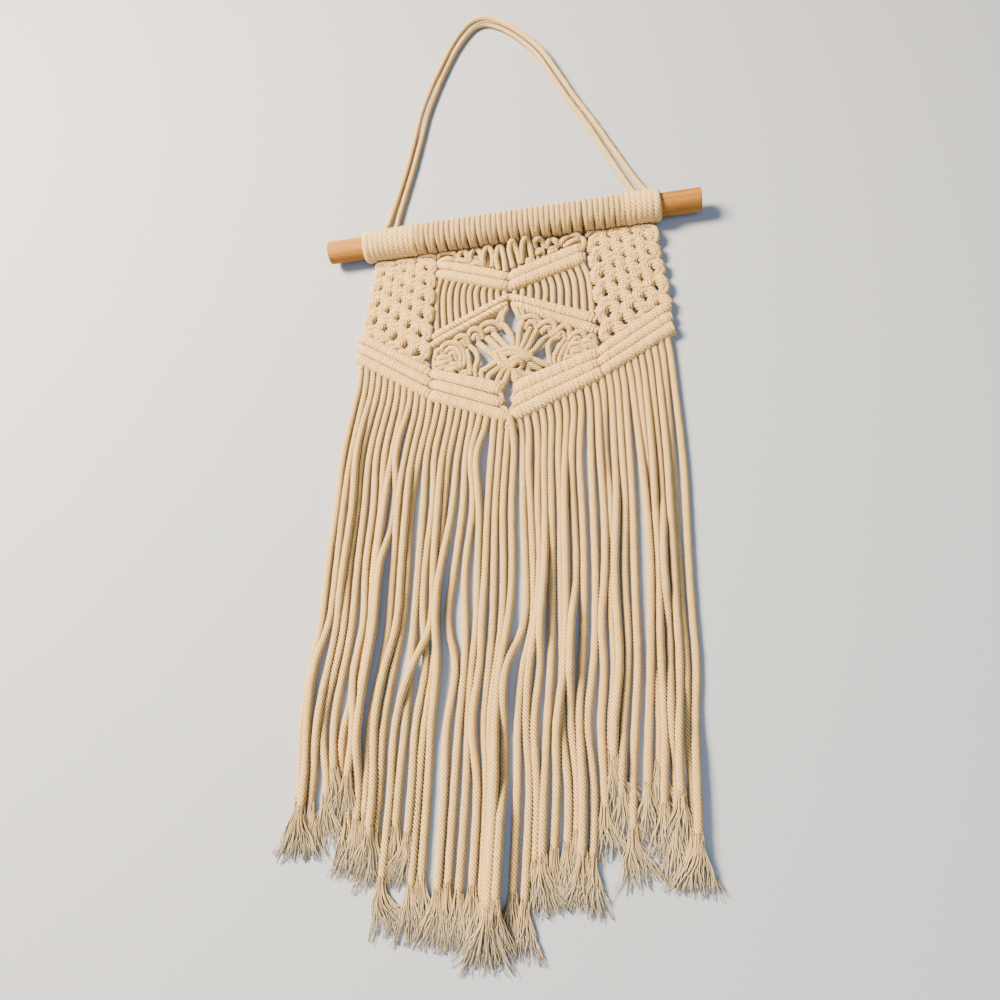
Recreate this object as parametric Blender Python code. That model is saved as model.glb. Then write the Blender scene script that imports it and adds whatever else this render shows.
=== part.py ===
# A macrame wall hanging on a wooden dowel, lying flat on a level surface.
# +X runs along the dowel, +Y towards the top of the hanger, +Z up, and the surface is z = 0.
# Sizes and places are in millimetres from the dowel's middle, and MM makes them metres.

import math

import bmesh
import bpy
from mathutils import Vector
from mathutils.geometry import delaunay_2d_cdt

MM = 0.001
DOWEL_PLACE = (4.3, 251.5)  # the dowel's middle, seen from the middle of the whole outline
PIECE_GAP = 0.3  # between pieces that touch on the real thing

DOWEL_LENGTH = 300.0
DOWEL_RADIUS = 9.0
DOWEL_CHAMFER = 0.8
DOWEL_SIDES = 32

HEADING_ENDS = (-118.0, 117.5)  # along the dowel
HEADING_KNOTS = 28  # lark's heads, and the plain turns beside them
HEADING_RADIUS = 13.0
HEADING_NOTCH = 1.5  # depth of the valley between two knots
HEADING_SIDES = 12
DOWEL_HEIGHT = HEADING_RADIUS  # the heading rests on the surface

CORD_DIAMETER = 5.0
CORD_TONE = (0.80, 0.70, 0.53)
WOOD_TONE = (0.72, 0.42, 0.20)

# The panel is a mesh of rows and columns. Its left and right halves have 12 cords each, with
# two columns a cord. Each side panel has 12 cords, with one column a cord.
HALF_COLUMNS = 24
SIDE_COLUMNS = 12
JOINED_FROM = 12  # a side panel and its half are one from this row down, and slit above it
CENTRE_TOP = -2.2  # x of the middle line at the dowel
CENTRE_LEAN = 0.022  # it leans to the left by this much of its way down
HOLE_COLUMNS = (14, 18)  # the flower's side holes run between these, counted from the outside
HOLE_ROWS = (14, 15)
BAR_RIPPLE = 0.45  # turns of cord along a bar
STRAND_RIPPLE = 1.5  # plain cords side by side
LOOP_RIPPLE = 0.9  # loops in the arches and petals
KNOT_BUMP = 2.8
EDGE_DROP = 2.0  # an outer edge is rounder than the face
FLOWER_KNOT = (-4.0, -118.0)
FLOWER_RADIUS = 14.0
FLOWER_BUMP = 3.0

# A row: name, left end x and y, y at the two hole columns, y in the middle, half the width of
# the gap in the middle, right end x and y, height, kind of ripple. None lies straight between.
HALF_ROWS = (
    ("heading", -59.5, -11.0, None, None, -11.0, 0.0, 56.0, -11.0, 5.0, "plain"),
    ("arches", -59.5, -13.8, None, None, -26.0, 0.0, 56.2, -15.5, 7.0, "loop"),
    ("upper arm top", -59.7, -16.5, None, None, -36.0, 2.3, 56.5, -19.5, 6.0, "plain"),
    ("upper arm bar 1", -59.9, -20.5, None, None, -43.5, 0.0, 56.7, -24.0, 9.5, "bar"),
    ("upper arm middle", -60.1, -25.0, None, None, -47.5, 0.0, 56.9, -28.5, 7.0, "bar"),
    ("upper arm bar 2", -60.3, -30.0, None, None, -51.8, 0.0, 57.2, -33.5, 9.5, "bar"),
    ("triangle top", -60.5, -35.5, None, None, -55.8, 0.0, 57.5, -38.5, 4.4, "strand"),
    ("triangle middle", -62.0, -60.0, None, None, -57.4, 0.0, 59.3, -63.0, 4.0, "strand"),
    ("triangle bottom", -63.3, -86.5, None, None, -59.0, 0.0, 61.0, -88.5, 4.4, "strand"),
    ("lower arm bar 1", -64.0, -90.8, None, None, -62.0, 0.0, 61.2, -93.3, 9.5, "bar"),
    ("lower arm middle", -64.6, -94.5, None, None, -65.0, 0.0, 61.4, -98.0, 7.0, "bar"),
    ("lower arm bar 2", -65.4, -98.2, None, None, -69.2, 2.3, 61.6, -103.5, 9.5, "bar"),
    ("lower arm bottom", -66.2, -101.8, None, None, -75.0, 4.0, 61.8, -109.0, 6.0, "plain"),
    ("petal heads", -66.2, -105.3, -93.0, -92.5, -86.0, 6.0, 61.6, -111.3, 8.0, "loop"),
    ("petals above", -66.2, -109.0, -103.0, -113.5, -104.5, 0.0, 61.3, -113.4, 6.5, "loop"),
    ("petals below", -66.2, -112.6, -126.0, -116.2, -117.5, 0.0, 61.0, -115.4, 6.5, "loop"),
    ("petal feet", -65.9, -116.0, -129.7, -125.5, -129.5, 0.0, 60.8, -117.3, 7.0, "loop"),
    ("border top", -65.6, -119.2, None, None, -139.0, 2.8, 60.5, -119.3, 6.0, "plain"),
    ("border bar 1", -65.3, -124.0, None, None, -144.5, 3.0, 60.2, -123.5, 9.5, "bar"),
    ("border 1 to 2", -65.0, -128.5, None, None, -150.0, 3.0, 60.0, -127.5, 7.0, "bar"),
    ("border bar 2", -64.8, -133.0, None, None, -156.2, 2.5, 60.0, -132.0, 9.5, "bar"),
    ("border 2 to 3", -64.6, -137.8, None, None, -162.5, 0.0, 60.0, -136.3, 7.0, "bar"),
    ("border bar 3", -64.3, -143.2, None, None, -168.5, 0.0, 60.0, -140.5, 10.0, "bar"),
    ("border bottom", -64.0, -149.3, None, None, -175.5, 0.0, 60.0, -145.5, 5.5, "plain"),
)
BORDER_ROW = 17  # from here down a side panel's rows are the border's bars

# A side panel's outer edge and its slit edge, a pair of points each, between which its knotted
# rows are shared out evenly: first row and last row before the border.
LEFT_SIDE = {"outer": ((-113.0, -11.0), (-123.5, -76.0)), "slit": ((-61.0, -11.0), (-66.2, -98.5))}
RIGHT_SIDE = {"outer": ((113.5, -11.0), (116.0, -84.0)), "slit": ((59.8, -11.0), (62.8, -105.5))}
SIDE_BOW = 2.2  # a side panel's outer edge and its slit bulge this much half way down
# The outer ends of the border's rows after the first: left x and y, right x and y
BORDER_ENDS = (
    (-123.8, -81.5, 116.0, -89.0),
    (-124.0, -86.5, 116.0, -93.8),
    (-124.0, -91.5, 115.8, -98.7),
    (-124.0, -96.0, 115.5, -103.6),
    (-124.0, -101.5, 115.0, -109.0),
    (-124.0, -109.0, 114.5, -115.5),
)

# Fringe: strands of four sides, a narrow strip holds their roots
STRIP_DEPTH = 4.0
STRIP_CLEAR = 0.5  # straight down from the panel's lower edge
STRANDS_A_BLOCK = (12, 11, 12, 11)  # under the left side panel, the two halves, the right one
ROOT_GAP = 0.6
ROOT_DROP = 10.0  # the strands leave the strip straight down for this much
STRAND_WIDTH = 4.5
STRAND_CLEAR = 0.6  # between two strands that lie side by side
STRAND_HEIGHT = 4.6
STRAND_TOP = 0.72  # a strand's top is this much of its width, and its foot lies flat
FRAY_LENGTH = 22.0
FRAY_HEIGHT = 0.75
# The strands fall in bundles with gaps between them. A bundle: name, then the y at which each
# of its strands ends, then its first and last strand's x at each of these y.
FRINGE_ROWS = (-195.0, -235.0, -282.0, -322.0, -345.0, -384.0, -416.0, -470.0)
BUNDLES = (
    ("outer left", (-452, -457, -455, -450, -436, -440, -438, -464),
     ((-132.5, -95.5), (-135.7, -101.0), (-140.0, -102.0), (-141.6, -104.0),
      (-147.0, -107.5), (-151.6, -107.6), (-154.0, -111.0), (-157.5, -115.0))),
    ("left pair", (-467, -462),
     ((-85.4, -80.1), (-89.8, -83.7), (-92.4, -86.8), (-94.5, -89.0),
      (-95.9, -90.6), (-101.9, -96.9), (-105.4, -100.6), (-109.5, -104.7))),
    ("next pair", (-470, -472),
     ((-73.5, -68.5), (-71.6, -65.8), (-75.5, -70.3), (-77.5, -72.3),
      (-79.9, -75.2), (-88.5, -83.5), (-90.8, -85.8), (-95.0, -90.0))),
    ("left three", (-468, -474, -498),
     ((-62.5, -53.0), (-59.5, -50.3), (-62.5, -52.0), (-64.4, -54.8),
      (-68.5, -58.7), (-75.2, -65.8), (-77.6, -67.6), (-81.5, -71.5))),
    ("left of the middle", (-501, -497, -505, -502, -506, -503, -508, -516),
     ((-44.6, -9.6), (-42.5, -8.8), (-42.5, -10.1), (-45.6, -14.3),
      (-48.6, -16.9), (-57.0, -19.5), (-58.0, -21.5), (-62.0, -26.0))),
    ("right of the middle", (-514, -510, -507, -511, -490),
     ((-0.4, 20.5), (-0.4, 18.6), (-0.9, 17.2), (-3.8, 14.5),
      (-6.3, 11.8), (-10.1, 8.6), (-12.0, 7.5), (-16.0, 3.2))),
    ("right six", (-488, -482, -484, -477, -486, -489),
     ((26.0, 48.5), (24.5, 47.5), (24.5, 47.2), (20.3, 45.6),
      (19.0, 45.2), (15.2, 40.6), (15.2, 40.2), (9.8, 34.6))),
    ("right five", (-462, -434, -437, -455, -476),
     ((54.3, 75.5), (53.5, 73.1), (53.0, 71.0), (52.0, 70.0),
      (51.3, 69.1), (47.0, 64.8), (46.3, 64.1), (40.4, 58.2))),
    ("outer right", (-452, -440, -463, -475, -458, -479),
     ((82.3, 104.5), (80.3, 102.5), (77.2, 99.4), (75.5, 97.7),
      (74.4, 96.6), (69.8, 92.0), (68.7, 90.9), (62.7, 84.9))),
    ("last", (-480,),
     ((111.0, 111.0), (108.0, 108.0), (105.3, 105.3), (103.0, 103.0),
      (101.6, 101.6), (97.0, 97.0), (95.6, 95.6), (89.5, 89.5))),
)

# Hanger: two cords side by side. A route point: x and y between the two, how far apart their
# centres are, the angle in degrees by which the outer cord climbs onto the inner one, and z.
HANGER_LIFT_Z = 2.6
HANGER_ROUTE = (
    (-103.3, 14.9, 9.6, 0, 8.0),
    (-102.0, 20.5, 9.0, 0, 5.4),
    (-100.4, 29.0, 8.0, 0, 3.2),
    (-97.4, 43.0, 6.8, 0, 2.6),
    (-87.0, 86.0, 6.0, 0, 2.6),
    (-79.5, 122.0, 5.7, 10, 2.6),
    (-73.0, 153.0, 5.5, 35, 2.6),
    (-64.5, 183.0, 5.5, 25, 2.6),
    (-54.5, 212.0, 5.5, 12, 2.6),
    (-45.5, 233.0, 5.5, 20, 2.6),
    (-35.0, 250.0, 5.5, 35, 2.6),
    (-25.0, 259.0, 5.5, 55, 2.6),
    (-14.0, 260.0, 5.5, 70, 2.6),
    (-3.0, 253.5, 5.5, 75, 2.6),
    (9.0, 242.0, 5.5, 75, 2.6),
    (22.0, 225.0, 5.5, 65, 2.6),
    (34.5, 204.5, 5.5, 45, 2.6),
    (47.0, 174.0, 5.6, 20, 2.6),
    (59.0, 143.0, 5.8, 5, 2.6),
    (73.0, 110.0, 6.2, 0, 2.6),
    (88.5, 69.0, 7.0, 0, 2.6),
    (98.5, 43.0, 7.8, 0, 2.6),
    (104.0, 29.0, 8.3, 0, 3.2),
    (107.6, 20.5, 8.7, 0, 5.4),
    (109.8, 14.9, 9.0, 0, 8.0),
)
CORD_STEP = 15.0  # between the points of a hanger cord
CORD_BEVEL = 2


def clear_scene():
    for thing in list(bpy.data.objects):
        bpy.data.objects.remove(thing, do_unlink=True)


def make_material(name, tone, roughness):
    material = bpy.data.materials.new(name)
    material.use_nodes = True
    shader = material.node_tree.nodes["Principled BSDF"]
    shader.inputs["Base Color"].default_value = (*tone, 1.0)
    shader.inputs["Roughness"].default_value = roughness
    shader.inputs["Metallic"].default_value = 0.0
    return material


def place(point):
    """A point in millimetres from the dowel's middle, as metres from the outline's middle."""
    return Vector((point[0] + DOWEL_PLACE[0], point[1] + DOWEL_PLACE[1], point[2])) * MM


def mesh_object(name, points, faces, material):
    mesh = bpy.data.meshes.new(name)
    mesh.from_pydata([place(point) for point in points], [], faces)
    shape = bmesh.new()
    shape.from_mesh(mesh)
    bmesh.ops.recalc_face_normals(shape, faces=shape.faces)
    shape.to_mesh(mesh)
    shape.free()
    mesh.materials.append(material)
    thing = bpy.data.objects.new(name, mesh)
    bpy.context.scene.collection.objects.link(thing)
    return thing


def between(low, high, share):
    return low + (high - low) * share


# ---- dowel and heading ----


def ring_points(x, radius, sides):
    """One ring round the dowel, with a flat side below."""
    turn = 2 * math.pi / sides
    return [
        (x, radius * math.sin((k + 0.5) * turn), DOWEL_HEIGHT - radius * math.cos((k + 0.5) * turn))
        for k in range(sides)
    ]


def turned(name, stations, sides, material, bore):
    """A turned body from (x, radius) stations, with a bore's radius or None for a solid rod."""
    points = []
    for x, radius in stations:
        points += ring_points(x, radius, sides)
    count = len(stations)
    if bore:
        points += ring_points(stations[-1][0], bore, sides)
        points += ring_points(stations[0][0], bore, sides)
        count += 2
    faces = []
    for station in range(count - (0 if bore else 1)):
        first = station * sides
        second = ((station + 1) % count) * sides
        for k in range(sides):
            after = (k + 1) % sides
            faces.append((first + k, first + after, second + after, second + k))
    if not bore:
        faces.append(tuple(range(sides)))
        faces.append(tuple(range((count - 1) * sides, count * sides)))
    return mesh_object(name, points, faces, material)


def make_dowel(wood):
    half = DOWEL_LENGTH / 2
    narrow = DOWEL_RADIUS - DOWEL_CHAMFER
    stations = (
        (-half, narrow),
        (-half + DOWEL_CHAMFER, DOWEL_RADIUS),
        (half - DOWEL_CHAMFER, DOWEL_RADIUS),
        (half, narrow),
    )
    return turned("dowel", stations, DOWEL_SIDES, wood, None)


def make_heading(cord):
    """Lark's heads round the dowel: one ridge for each, and a notch between two."""
    reach = 1 / math.cos(math.pi / HEADING_SIDES)  # so that the flat side below lies on the surface
    crest = HEADING_RADIUS * reach
    notch = (HEADING_RADIUS - HEADING_NOTCH) * reach
    pitch = (HEADING_ENDS[1] - HEADING_ENDS[0]) / HEADING_KNOTS
    stations = []
    for knot in range(HEADING_KNOTS):
        left = HEADING_ENDS[0] + knot * pitch
        stations += [(left, notch), (left + pitch / 2, crest)]
    stations.append((HEADING_ENDS[1], notch))
    return turned("heading", stations, HEADING_SIDES, cord, (DOWEL_RADIUS + PIECE_GAP) * reach)


# ---- knotted panel ----


def centre_x(y):
    return CENTRE_TOP + CENTRE_LEAN * y


def half_point(row, column, side):
    """A point of the left (-1) or right (1) half; column 0 is its outer edge."""
    name, left_x, left_y, dip_a, dip_b, mid_y, gap, right_x, right_y, height, kind = HALF_ROWS[row]
    outer_x = left_x if side < 0 else right_x
    outer_y = left_y if side < 0 else right_y
    share = column / HALF_COLUMNS
    x = between(outer_x, centre_x(mid_y) + side * gap, share)
    if dip_a is None:
        y = between(outer_y, mid_y, share)
    elif column <= HOLE_COLUMNS[0]:
        y = between(outer_y, dip_a, column / HOLE_COLUMNS[0])
    elif column <= HOLE_COLUMNS[1]:
        way = (column - HOLE_COLUMNS[0]) / (HOLE_COLUMNS[1] - HOLE_COLUMNS[0])
        y = between(dip_a, dip_b, way)
    else:
        way = (column - HOLE_COLUMNS[1]) / (HALF_COLUMNS - HOLE_COLUMNS[1])
        y = between(dip_b, mid_y, way)
    return x, y, height + half_ripple(kind, column) + flower_bump(x, y)


def half_ripple(kind, column):
    if kind == "bar":
        return BAR_RIPPLE if column % 2 else -BAR_RIPPLE
    if kind == "strand":
        return STRAND_RIPPLE if column % 2 else -STRAND_RIPPLE
    if kind == "loop":
        return LOOP_RIPPLE if column % 4 in (1, 2) else -LOOP_RIPPLE
    return 0.0


def flower_bump(x, y):
    away = math.hypot(x - FLOWER_KNOT[0], y - FLOWER_KNOT[1]) / FLOWER_RADIUS
    return FLOWER_BUMP * max(0.0, 1 - away * away)


def side_point(row, column, side):
    """A point of a side panel; column 0 is its outer edge and the last one its slit edge."""
    shape = LEFT_SIDE if side < 0 else RIGHT_SIDE
    top, foot = shape["outer"]
    if row <= BORDER_ROW:
        way = row / BORDER_ROW
        bow = side * SIDE_BOW * math.sin(math.pi * way)
        outer = (between(top[0], foot[0], way) + bow, between(top[1], foot[1], way))
    else:
        ends = BORDER_ENDS[row - BORDER_ROW - 1]
        outer = ends[:2] if side < 0 else ends[2:]
    if row < JOINED_FROM:
        top, foot = shape["slit"]
        way = row / (JOINED_FROM - 1)
        inner = (between(top[0], foot[0], way), between(top[1], foot[1], way))
    else:
        inner = half_point(row, 0, side)
    share = column / SIDE_COLUMNS
    x = between(outer[0], inner[0], share)
    y = between(outer[1], inner[1], share)
    return x, y, side_height(row, column)


def side_height(row, column):
    height = HALF_ROWS[row][9]
    if row < BORDER_ROW:
        knots = 1.0 if (column - 2 * (row % 2)) % 4 == 2 else 0.0
        height = 6.2 + KNOT_BUMP * knots if row else HALF_ROWS[0][9]
    elif HALF_ROWS[row][10] == "bar":
        height += BAR_RIPPLE if column % 2 else -BAR_RIPPLE
    if column in (0, SIDE_COLUMNS) and row:
        height = max(height - EDGE_DROP, 4.0)
    return height


def panel_grid():
    """All blocks as columns of one grid; points that two blocks share are one point."""
    points = []
    blocks = []
    middle = []
    for side in (-1, 1):
        half = []
        for row in range(len(HALF_ROWS)):
            line = []
            for column in range(HALF_COLUMNS + 1):
                shared = column == HALF_COLUMNS and HALF_ROWS[row][6] == 0.0
                if shared and side > 0:
                    line.append(middle[row])
                else:
                    points.append(half_point(row, column, side))
                    line.append(len(points) - 1)
            half.append(line)
        middle = [line[-1] for line in half]
        panel = []
        for row in range(len(HALF_ROWS)):
            line = []
            for column in range(SIDE_COLUMNS + 1):
                if column == SIDE_COLUMNS and row >= JOINED_FROM:
                    line.append(half[row][0])
                else:
                    points.append(side_point(row, column, side))
                    line.append(len(points) - 1)
            panel.append(line)
        blocks += [("half", half), ("side", panel)]
    return points, blocks


def is_hole(kind, row, column):
    within = HOLE_COLUMNS[0] <= column < HOLE_COLUMNS[1]
    return kind == "half" and row == HOLE_ROWS[0] and within


def inside(x, y, edges):
    """Whether a point lies inside the outline that the edges draw, holes counted out."""
    odd = False
    for (ax, ay), (bx, by) in edges:
        if (ay > y) != (by > y) and x < ax + (bx - ax) * (y - ay) / (by - ay):
            odd = not odd
    return odd


def flat_underside(points, edges, spare):
    """Triangles at z = 0 that fill the outline, with a few spare points to keep them even."""
    ends = sorted({end for edge in edges for end in edge})
    order = {end: place for place, end in enumerate(ends)}
    flat = [Vector(points[end][:2]) for end in ends] + [Vector(points[k][:2]) for k in spare]
    lines = [(order[a], order[b]) for a, b in edges]
    outline = [(points[a][:2], points[b][:2]) for a, b in edges]
    spots, _, triangles, _, _, _ = delaunay_2d_cdt(flat, lines, [], 1, 1e-6)
    kept = []
    for triangle in triangles:
        middle = sum((spots[k] for k in triangle), Vector((0, 0))) / 3
        if inside(middle.x, middle.y, outline):
            kept.append(tuple(triangle))
    return ends, [tuple(spot) for spot in spots], kept


def make_panel(cord):
    points, blocks = panel_grid()
    faces = []
    spare = []
    for kind, block in blocks:
        for row in range(len(block) - 1):
            for column in range(len(block[row]) - 1):
                if not is_hole(kind, row, column):
                    here = block[row]
                    below = block[row + 1]
                    faces.append((here[column], here[column + 1], below[column + 1], below[column]))
                if row % 3 == 1 and column % 5 == 3:
                    spare.append(block[row][column])
    sides = {}
    for face in faces:
        for a, b in zip(face, face[1:] + face[:1]):
            sides.setdefault(frozenset((a, b)), []).append((a, b))
    edges = [found[0] for found in sides.values() if len(found) == 1]
    rim = {end for edge in edges for end in edge}
    ends, spots, below = flat_underside(points, edges, [k for k in spare if k not in rim])
    start = len(points)
    low = {end: start + place for place, end in enumerate(ends)}
    points += [(x, y, 0.0) for x, y in spots]
    faces += [tuple(start + k for k in triangle) for triangle in below]
    faces += [(b, a, low[a], low[b]) for a, b in edges]
    used = sorted({k for face in faces for k in face})
    fresh = {old: new for new, old in enumerate(used)}
    points = [points[k] for k in used]
    faces = [tuple(fresh[k] for k in face) for face in faces]
    return mesh_object("knotted_panel", points, faces, cord)


# ---- fringe ----


def border_line():
    """The panel's lower edge as its five corners, from left to right."""
    last = HALF_ROWS[-1]
    left = BORDER_ENDS[-1][:2]
    right = BORDER_ENDS[-1][2:]
    middle = (centre_x(last[5]), last[5])
    return [left, (last[1], last[2]), middle, (last[7], last[8]), right]


def bundle_strands():
    """Each strand as (its bundle's places, its share of the way across, spaces, y of its end)."""
    strands = []
    for name, ends, places in BUNDLES:
        spaces = max(len(ends) - 1, 1)
        for number, end in enumerate(ends):
            strands.append((places, number / spaces, spaces, end))
    return strands


def strand_place(strand, y):
    """The x of a strand at some y below its root, and its width there."""
    places, share, spaces, end = strand
    row = 0
    while row < len(FRINGE_ROWS) - 2 and y < FRINGE_ROWS[row + 1]:
        row += 1
    way = (y - FRINGE_ROWS[row]) / (FRINGE_ROWS[row + 1] - FRINGE_ROWS[row])
    left = between(places[row][0], places[row + 1][0], way)
    right = between(places[row][1], places[row + 1][1], way)
    pitch = (right - left) / spaces or STRAND_WIDTH
    return between(left, right, share), min(STRAND_WIDTH, pitch - STRAND_CLEAR)


def strand_stations(strand, root_x, root_y, root_width):
    """(x, y, width, height) down one strand, from below its root to its frayed end."""
    end = strand[3]
    neck = end + FRAY_LENGTH
    stations = [(root_x, root_y - ROOT_DROP, min(root_width, STRAND_WIDTH), STRAND_HEIGHT)]
    for y in FRINGE_ROWS + (neck,):
        if root_y - 3 * ROOT_DROP > y and (y > neck + ROOT_DROP or y == neck):
            x, width = strand_place(strand, y)
            stations.append((x, y, width, STRAND_HEIGHT))
    x, width = strand_place(strand, end)
    stations.append((x, end, width, STRAND_HEIGHT * FRAY_HEIGHT))
    return stations


def make_fringe(cord):
    """Columns of four points along the strip; the strands grow from its lower side."""
    points = []
    faces = []
    columns = []
    roots = []
    corners = border_line()
    for a, b, count in zip(corners, corners[1:], STRANDS_A_BLOCK):
        pitch = (b[0] - a[0]) / count
        stops = [a[0]]
        for strand in range(count):
            middle = a[0] + (strand + 0.5) * pitch
            half = (pitch - ROOT_GAP) / 2
            stops += [middle - half, middle + half]
            roots.append(len(columns) + 2 * strand + 1)
        for x in stops:
            y = between(a[1], b[1], (x - a[0]) / (b[0] - a[0])) - STRIP_CLEAR
            columns.append((x, y))
    columns.append((corners[-1][0], corners[-1][1] - STRIP_CLEAR))
    for x, y in columns:
        low = y - STRIP_DEPTH
        points += [(x, y, 0.0), (x, y, STRAND_HEIGHT), (x, low, STRAND_HEIGHT), (x, low, 0.0)]
    for column in range(len(columns) - 1):
        a = 4 * column
        b = a + 4
        faces += [(a, b, b + 1, a + 1), (a + 1, b + 1, b + 2, a + 2), (a, a + 3, b + 3, b)]
        if column not in roots:
            faces.append((a + 2, b + 2, b + 3, a + 3))
    end = 4 * (len(columns) - 1)
    faces += [(0, 1, 2, 3), (end, end + 1, end + 2, end + 3)]
    for strand, column in zip(bundle_strands(), roots):
        add_strand(points, faces, strand, column, columns)
    return mesh_object("fringe", points, faces, cord)


def add_strand(points, faces, strand, column, columns):
    left, right = columns[column], columns[column + 1]
    root_x = (left[0] + right[0]) / 2
    root_y = (left[1] + right[1]) / 2 - STRIP_DEPTH
    first = 4 * column
    ring = (first + 3, first + 7, first + 6, first + 2)
    for x, y, width, height in strand_stations(strand, root_x, root_y, right[0] - left[0]):
        start = len(points)
        foot = width / 2
        head = foot * STRAND_TOP
        points += [(x - foot, y, 0.0), (x + foot, y, 0.0), (x + head, y, height), (x - head, y, height)]
        following = tuple(range(start, start + 4))
        for k in range(4):
            after = (k + 1) % 4
            faces.append((ring[k], ring[after], following[after], following[k]))
        ring = following
    faces.append(ring)


# ---- hanger ----


def smooth_route(route, steps):
    """Points on a smooth curve through the route (Catmull-Rom), columns kept."""
    out = []
    for k in range(len(route) - 1):
        before = route[max(k - 1, 0)]
        here = route[k]
        there = route[k + 1]
        after = route[min(k + 2, len(route) - 1)]
        for step in range(steps):
            t = step / steps
            out.append(tuple(
                0.5 * (2 * b + (c - a) * t + (2 * a - 5 * b + 4 * c - d) * t * t
                       + (3 * b - a - 3 * c + d) * t ** 3)
                for a, b, c, d in zip(before, here, there, after)
            ))
    out.append(route[-1])
    return out


def cord_centres(side):
    """The outer (1) or inner (-1) hanger cord: centres in millimetres, evenly spaced."""
    fine = smooth_route(HANGER_ROUTE, 12)
    path = []
    for k, (x, y, apart, climb, z) in enumerate(fine):
        back = fine[max(k - 1, 0)]
        ahead = fine[min(k + 1, len(fine) - 1)]
        way = Vector((ahead[0] - back[0], ahead[1] - back[1])).normalized()
        angle = math.radians(climb)
        out = side * apart / 2 * math.cos(angle)
        up = apart * math.sin(angle) if side > 0 else 0.0
        path.append(Vector((x - way.y * out, y + way.x * out, z + up)))
    return even_points(path, CORD_STEP)


def even_points(path, step):
    lengths = [0.0]
    for a, b in zip(path, path[1:]):
        lengths.append(lengths[-1] + (b - a).length)
    count = round(lengths[-1] / step)
    out = []
    place_now = 0
    for k in range(count + 1):
        want = lengths[-1] * k / count
        while place_now < len(path) - 2 and lengths[place_now + 1] < want:
            place_now += 1
        span = lengths[place_now + 1] - lengths[place_now]
        out.append(path[place_now].lerp(path[place_now + 1], (want - lengths[place_now]) / span))
    return out


def make_hanger_cord(name, side, cord):
    curve = bpy.data.curves.new(name, "CURVE")
    curve.dimensions = "3D"
    curve.bevel_depth = CORD_DIAMETER / 2 * MM
    curve.bevel_resolution = CORD_BEVEL
    curve.use_fill_caps = True
    centres = cord_centres(side)
    line = curve.splines.new("POLY")
    line.points.add(len(centres) - 1)
    for point, centre in zip(line.points, centres):
        point.co = (*place(centre), 1.0)
    curve.materials.append(cord)
    thing = bpy.data.objects.new(name, curve)
    bpy.context.scene.collection.objects.link(thing)
    return thing


def main():
    clear_scene()
    wood = make_material("dowel_wood", WOOD_TONE, 0.55)
    heading_cord = make_material("heading_cord", CORD_TONE, 0.9)
    panel_cord = make_material("panel_cord", CORD_TONE, 0.9)
    fringe_cord = make_material("fringe_cord", CORD_TONE, 0.9)
    hanger_cord = make_material("hanger_cord", CORD_TONE, 0.9)
    make_dowel(wood)
    make_heading(heading_cord)
    make_panel(panel_cord)
    make_fringe(fringe_cord)
    make_hanger_cord("hanger_cord_outer", 1, hanger_cord)
    make_hanger_cord("hanger_cord_inner", -1, hanger_cord)


main()
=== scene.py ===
import math
import random

import bpy
import numpy as np
from mathutils import Matrix, Vector


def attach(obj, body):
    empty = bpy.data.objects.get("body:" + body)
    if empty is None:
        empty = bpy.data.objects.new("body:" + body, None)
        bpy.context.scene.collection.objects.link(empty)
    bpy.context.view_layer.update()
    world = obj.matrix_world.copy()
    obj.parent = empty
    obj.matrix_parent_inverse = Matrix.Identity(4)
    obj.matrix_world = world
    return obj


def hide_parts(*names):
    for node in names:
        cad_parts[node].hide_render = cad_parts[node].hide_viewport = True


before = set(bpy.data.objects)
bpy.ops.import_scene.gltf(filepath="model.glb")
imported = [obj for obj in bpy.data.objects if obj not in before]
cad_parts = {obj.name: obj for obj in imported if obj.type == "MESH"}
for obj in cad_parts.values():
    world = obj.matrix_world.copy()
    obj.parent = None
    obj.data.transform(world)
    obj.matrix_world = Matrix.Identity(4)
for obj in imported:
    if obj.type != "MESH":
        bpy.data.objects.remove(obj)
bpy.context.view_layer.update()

# Places are in millimetres from the dowel's middle, z up from the surface, as in the CAD part.
mm = 0.001
dowelPlace = np.array((4.3, 251.5, 0.0))


def toMetres(points):
    return (np.asarray(points, dtype=float) + dowelPlace) * mm


def between(low, high, share):
    return low + (high - low) * share


# the camera stands where the photo was taken from
cameraLook = {
    "location": (0.06148, -0.18806, 0.48411),
    "right": (0.98575, -0.0318, -0.1652),
    "up": (0.09375, 0.9192, 0.38247),
    "view": (-0.13969, 0.3925, -0.90908),
    "lens": 27.36, "sensor": 36, "nearest": 0.01,
}


def makeCamera(look):
    data = bpy.data.cameras.new("camera")
    data.lens = look["lens"]
    data.sensor_width = look["sensor"]
    data.clip_start = look["nearest"]
    camera = bpy.data.objects.new("camera", data)
    bpy.context.scene.collection.objects.link(camera)
    back = -Vector(look["view"])
    place = Matrix((Vector(look["right"]), Vector(look["up"]), back)).transposed().to_4x4()
    place.translation = Vector(look["location"])
    camera.matrix_world = place
    bpy.context.scene.camera = camera


makeCamera(cameraLook)
print("camera set")

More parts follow.
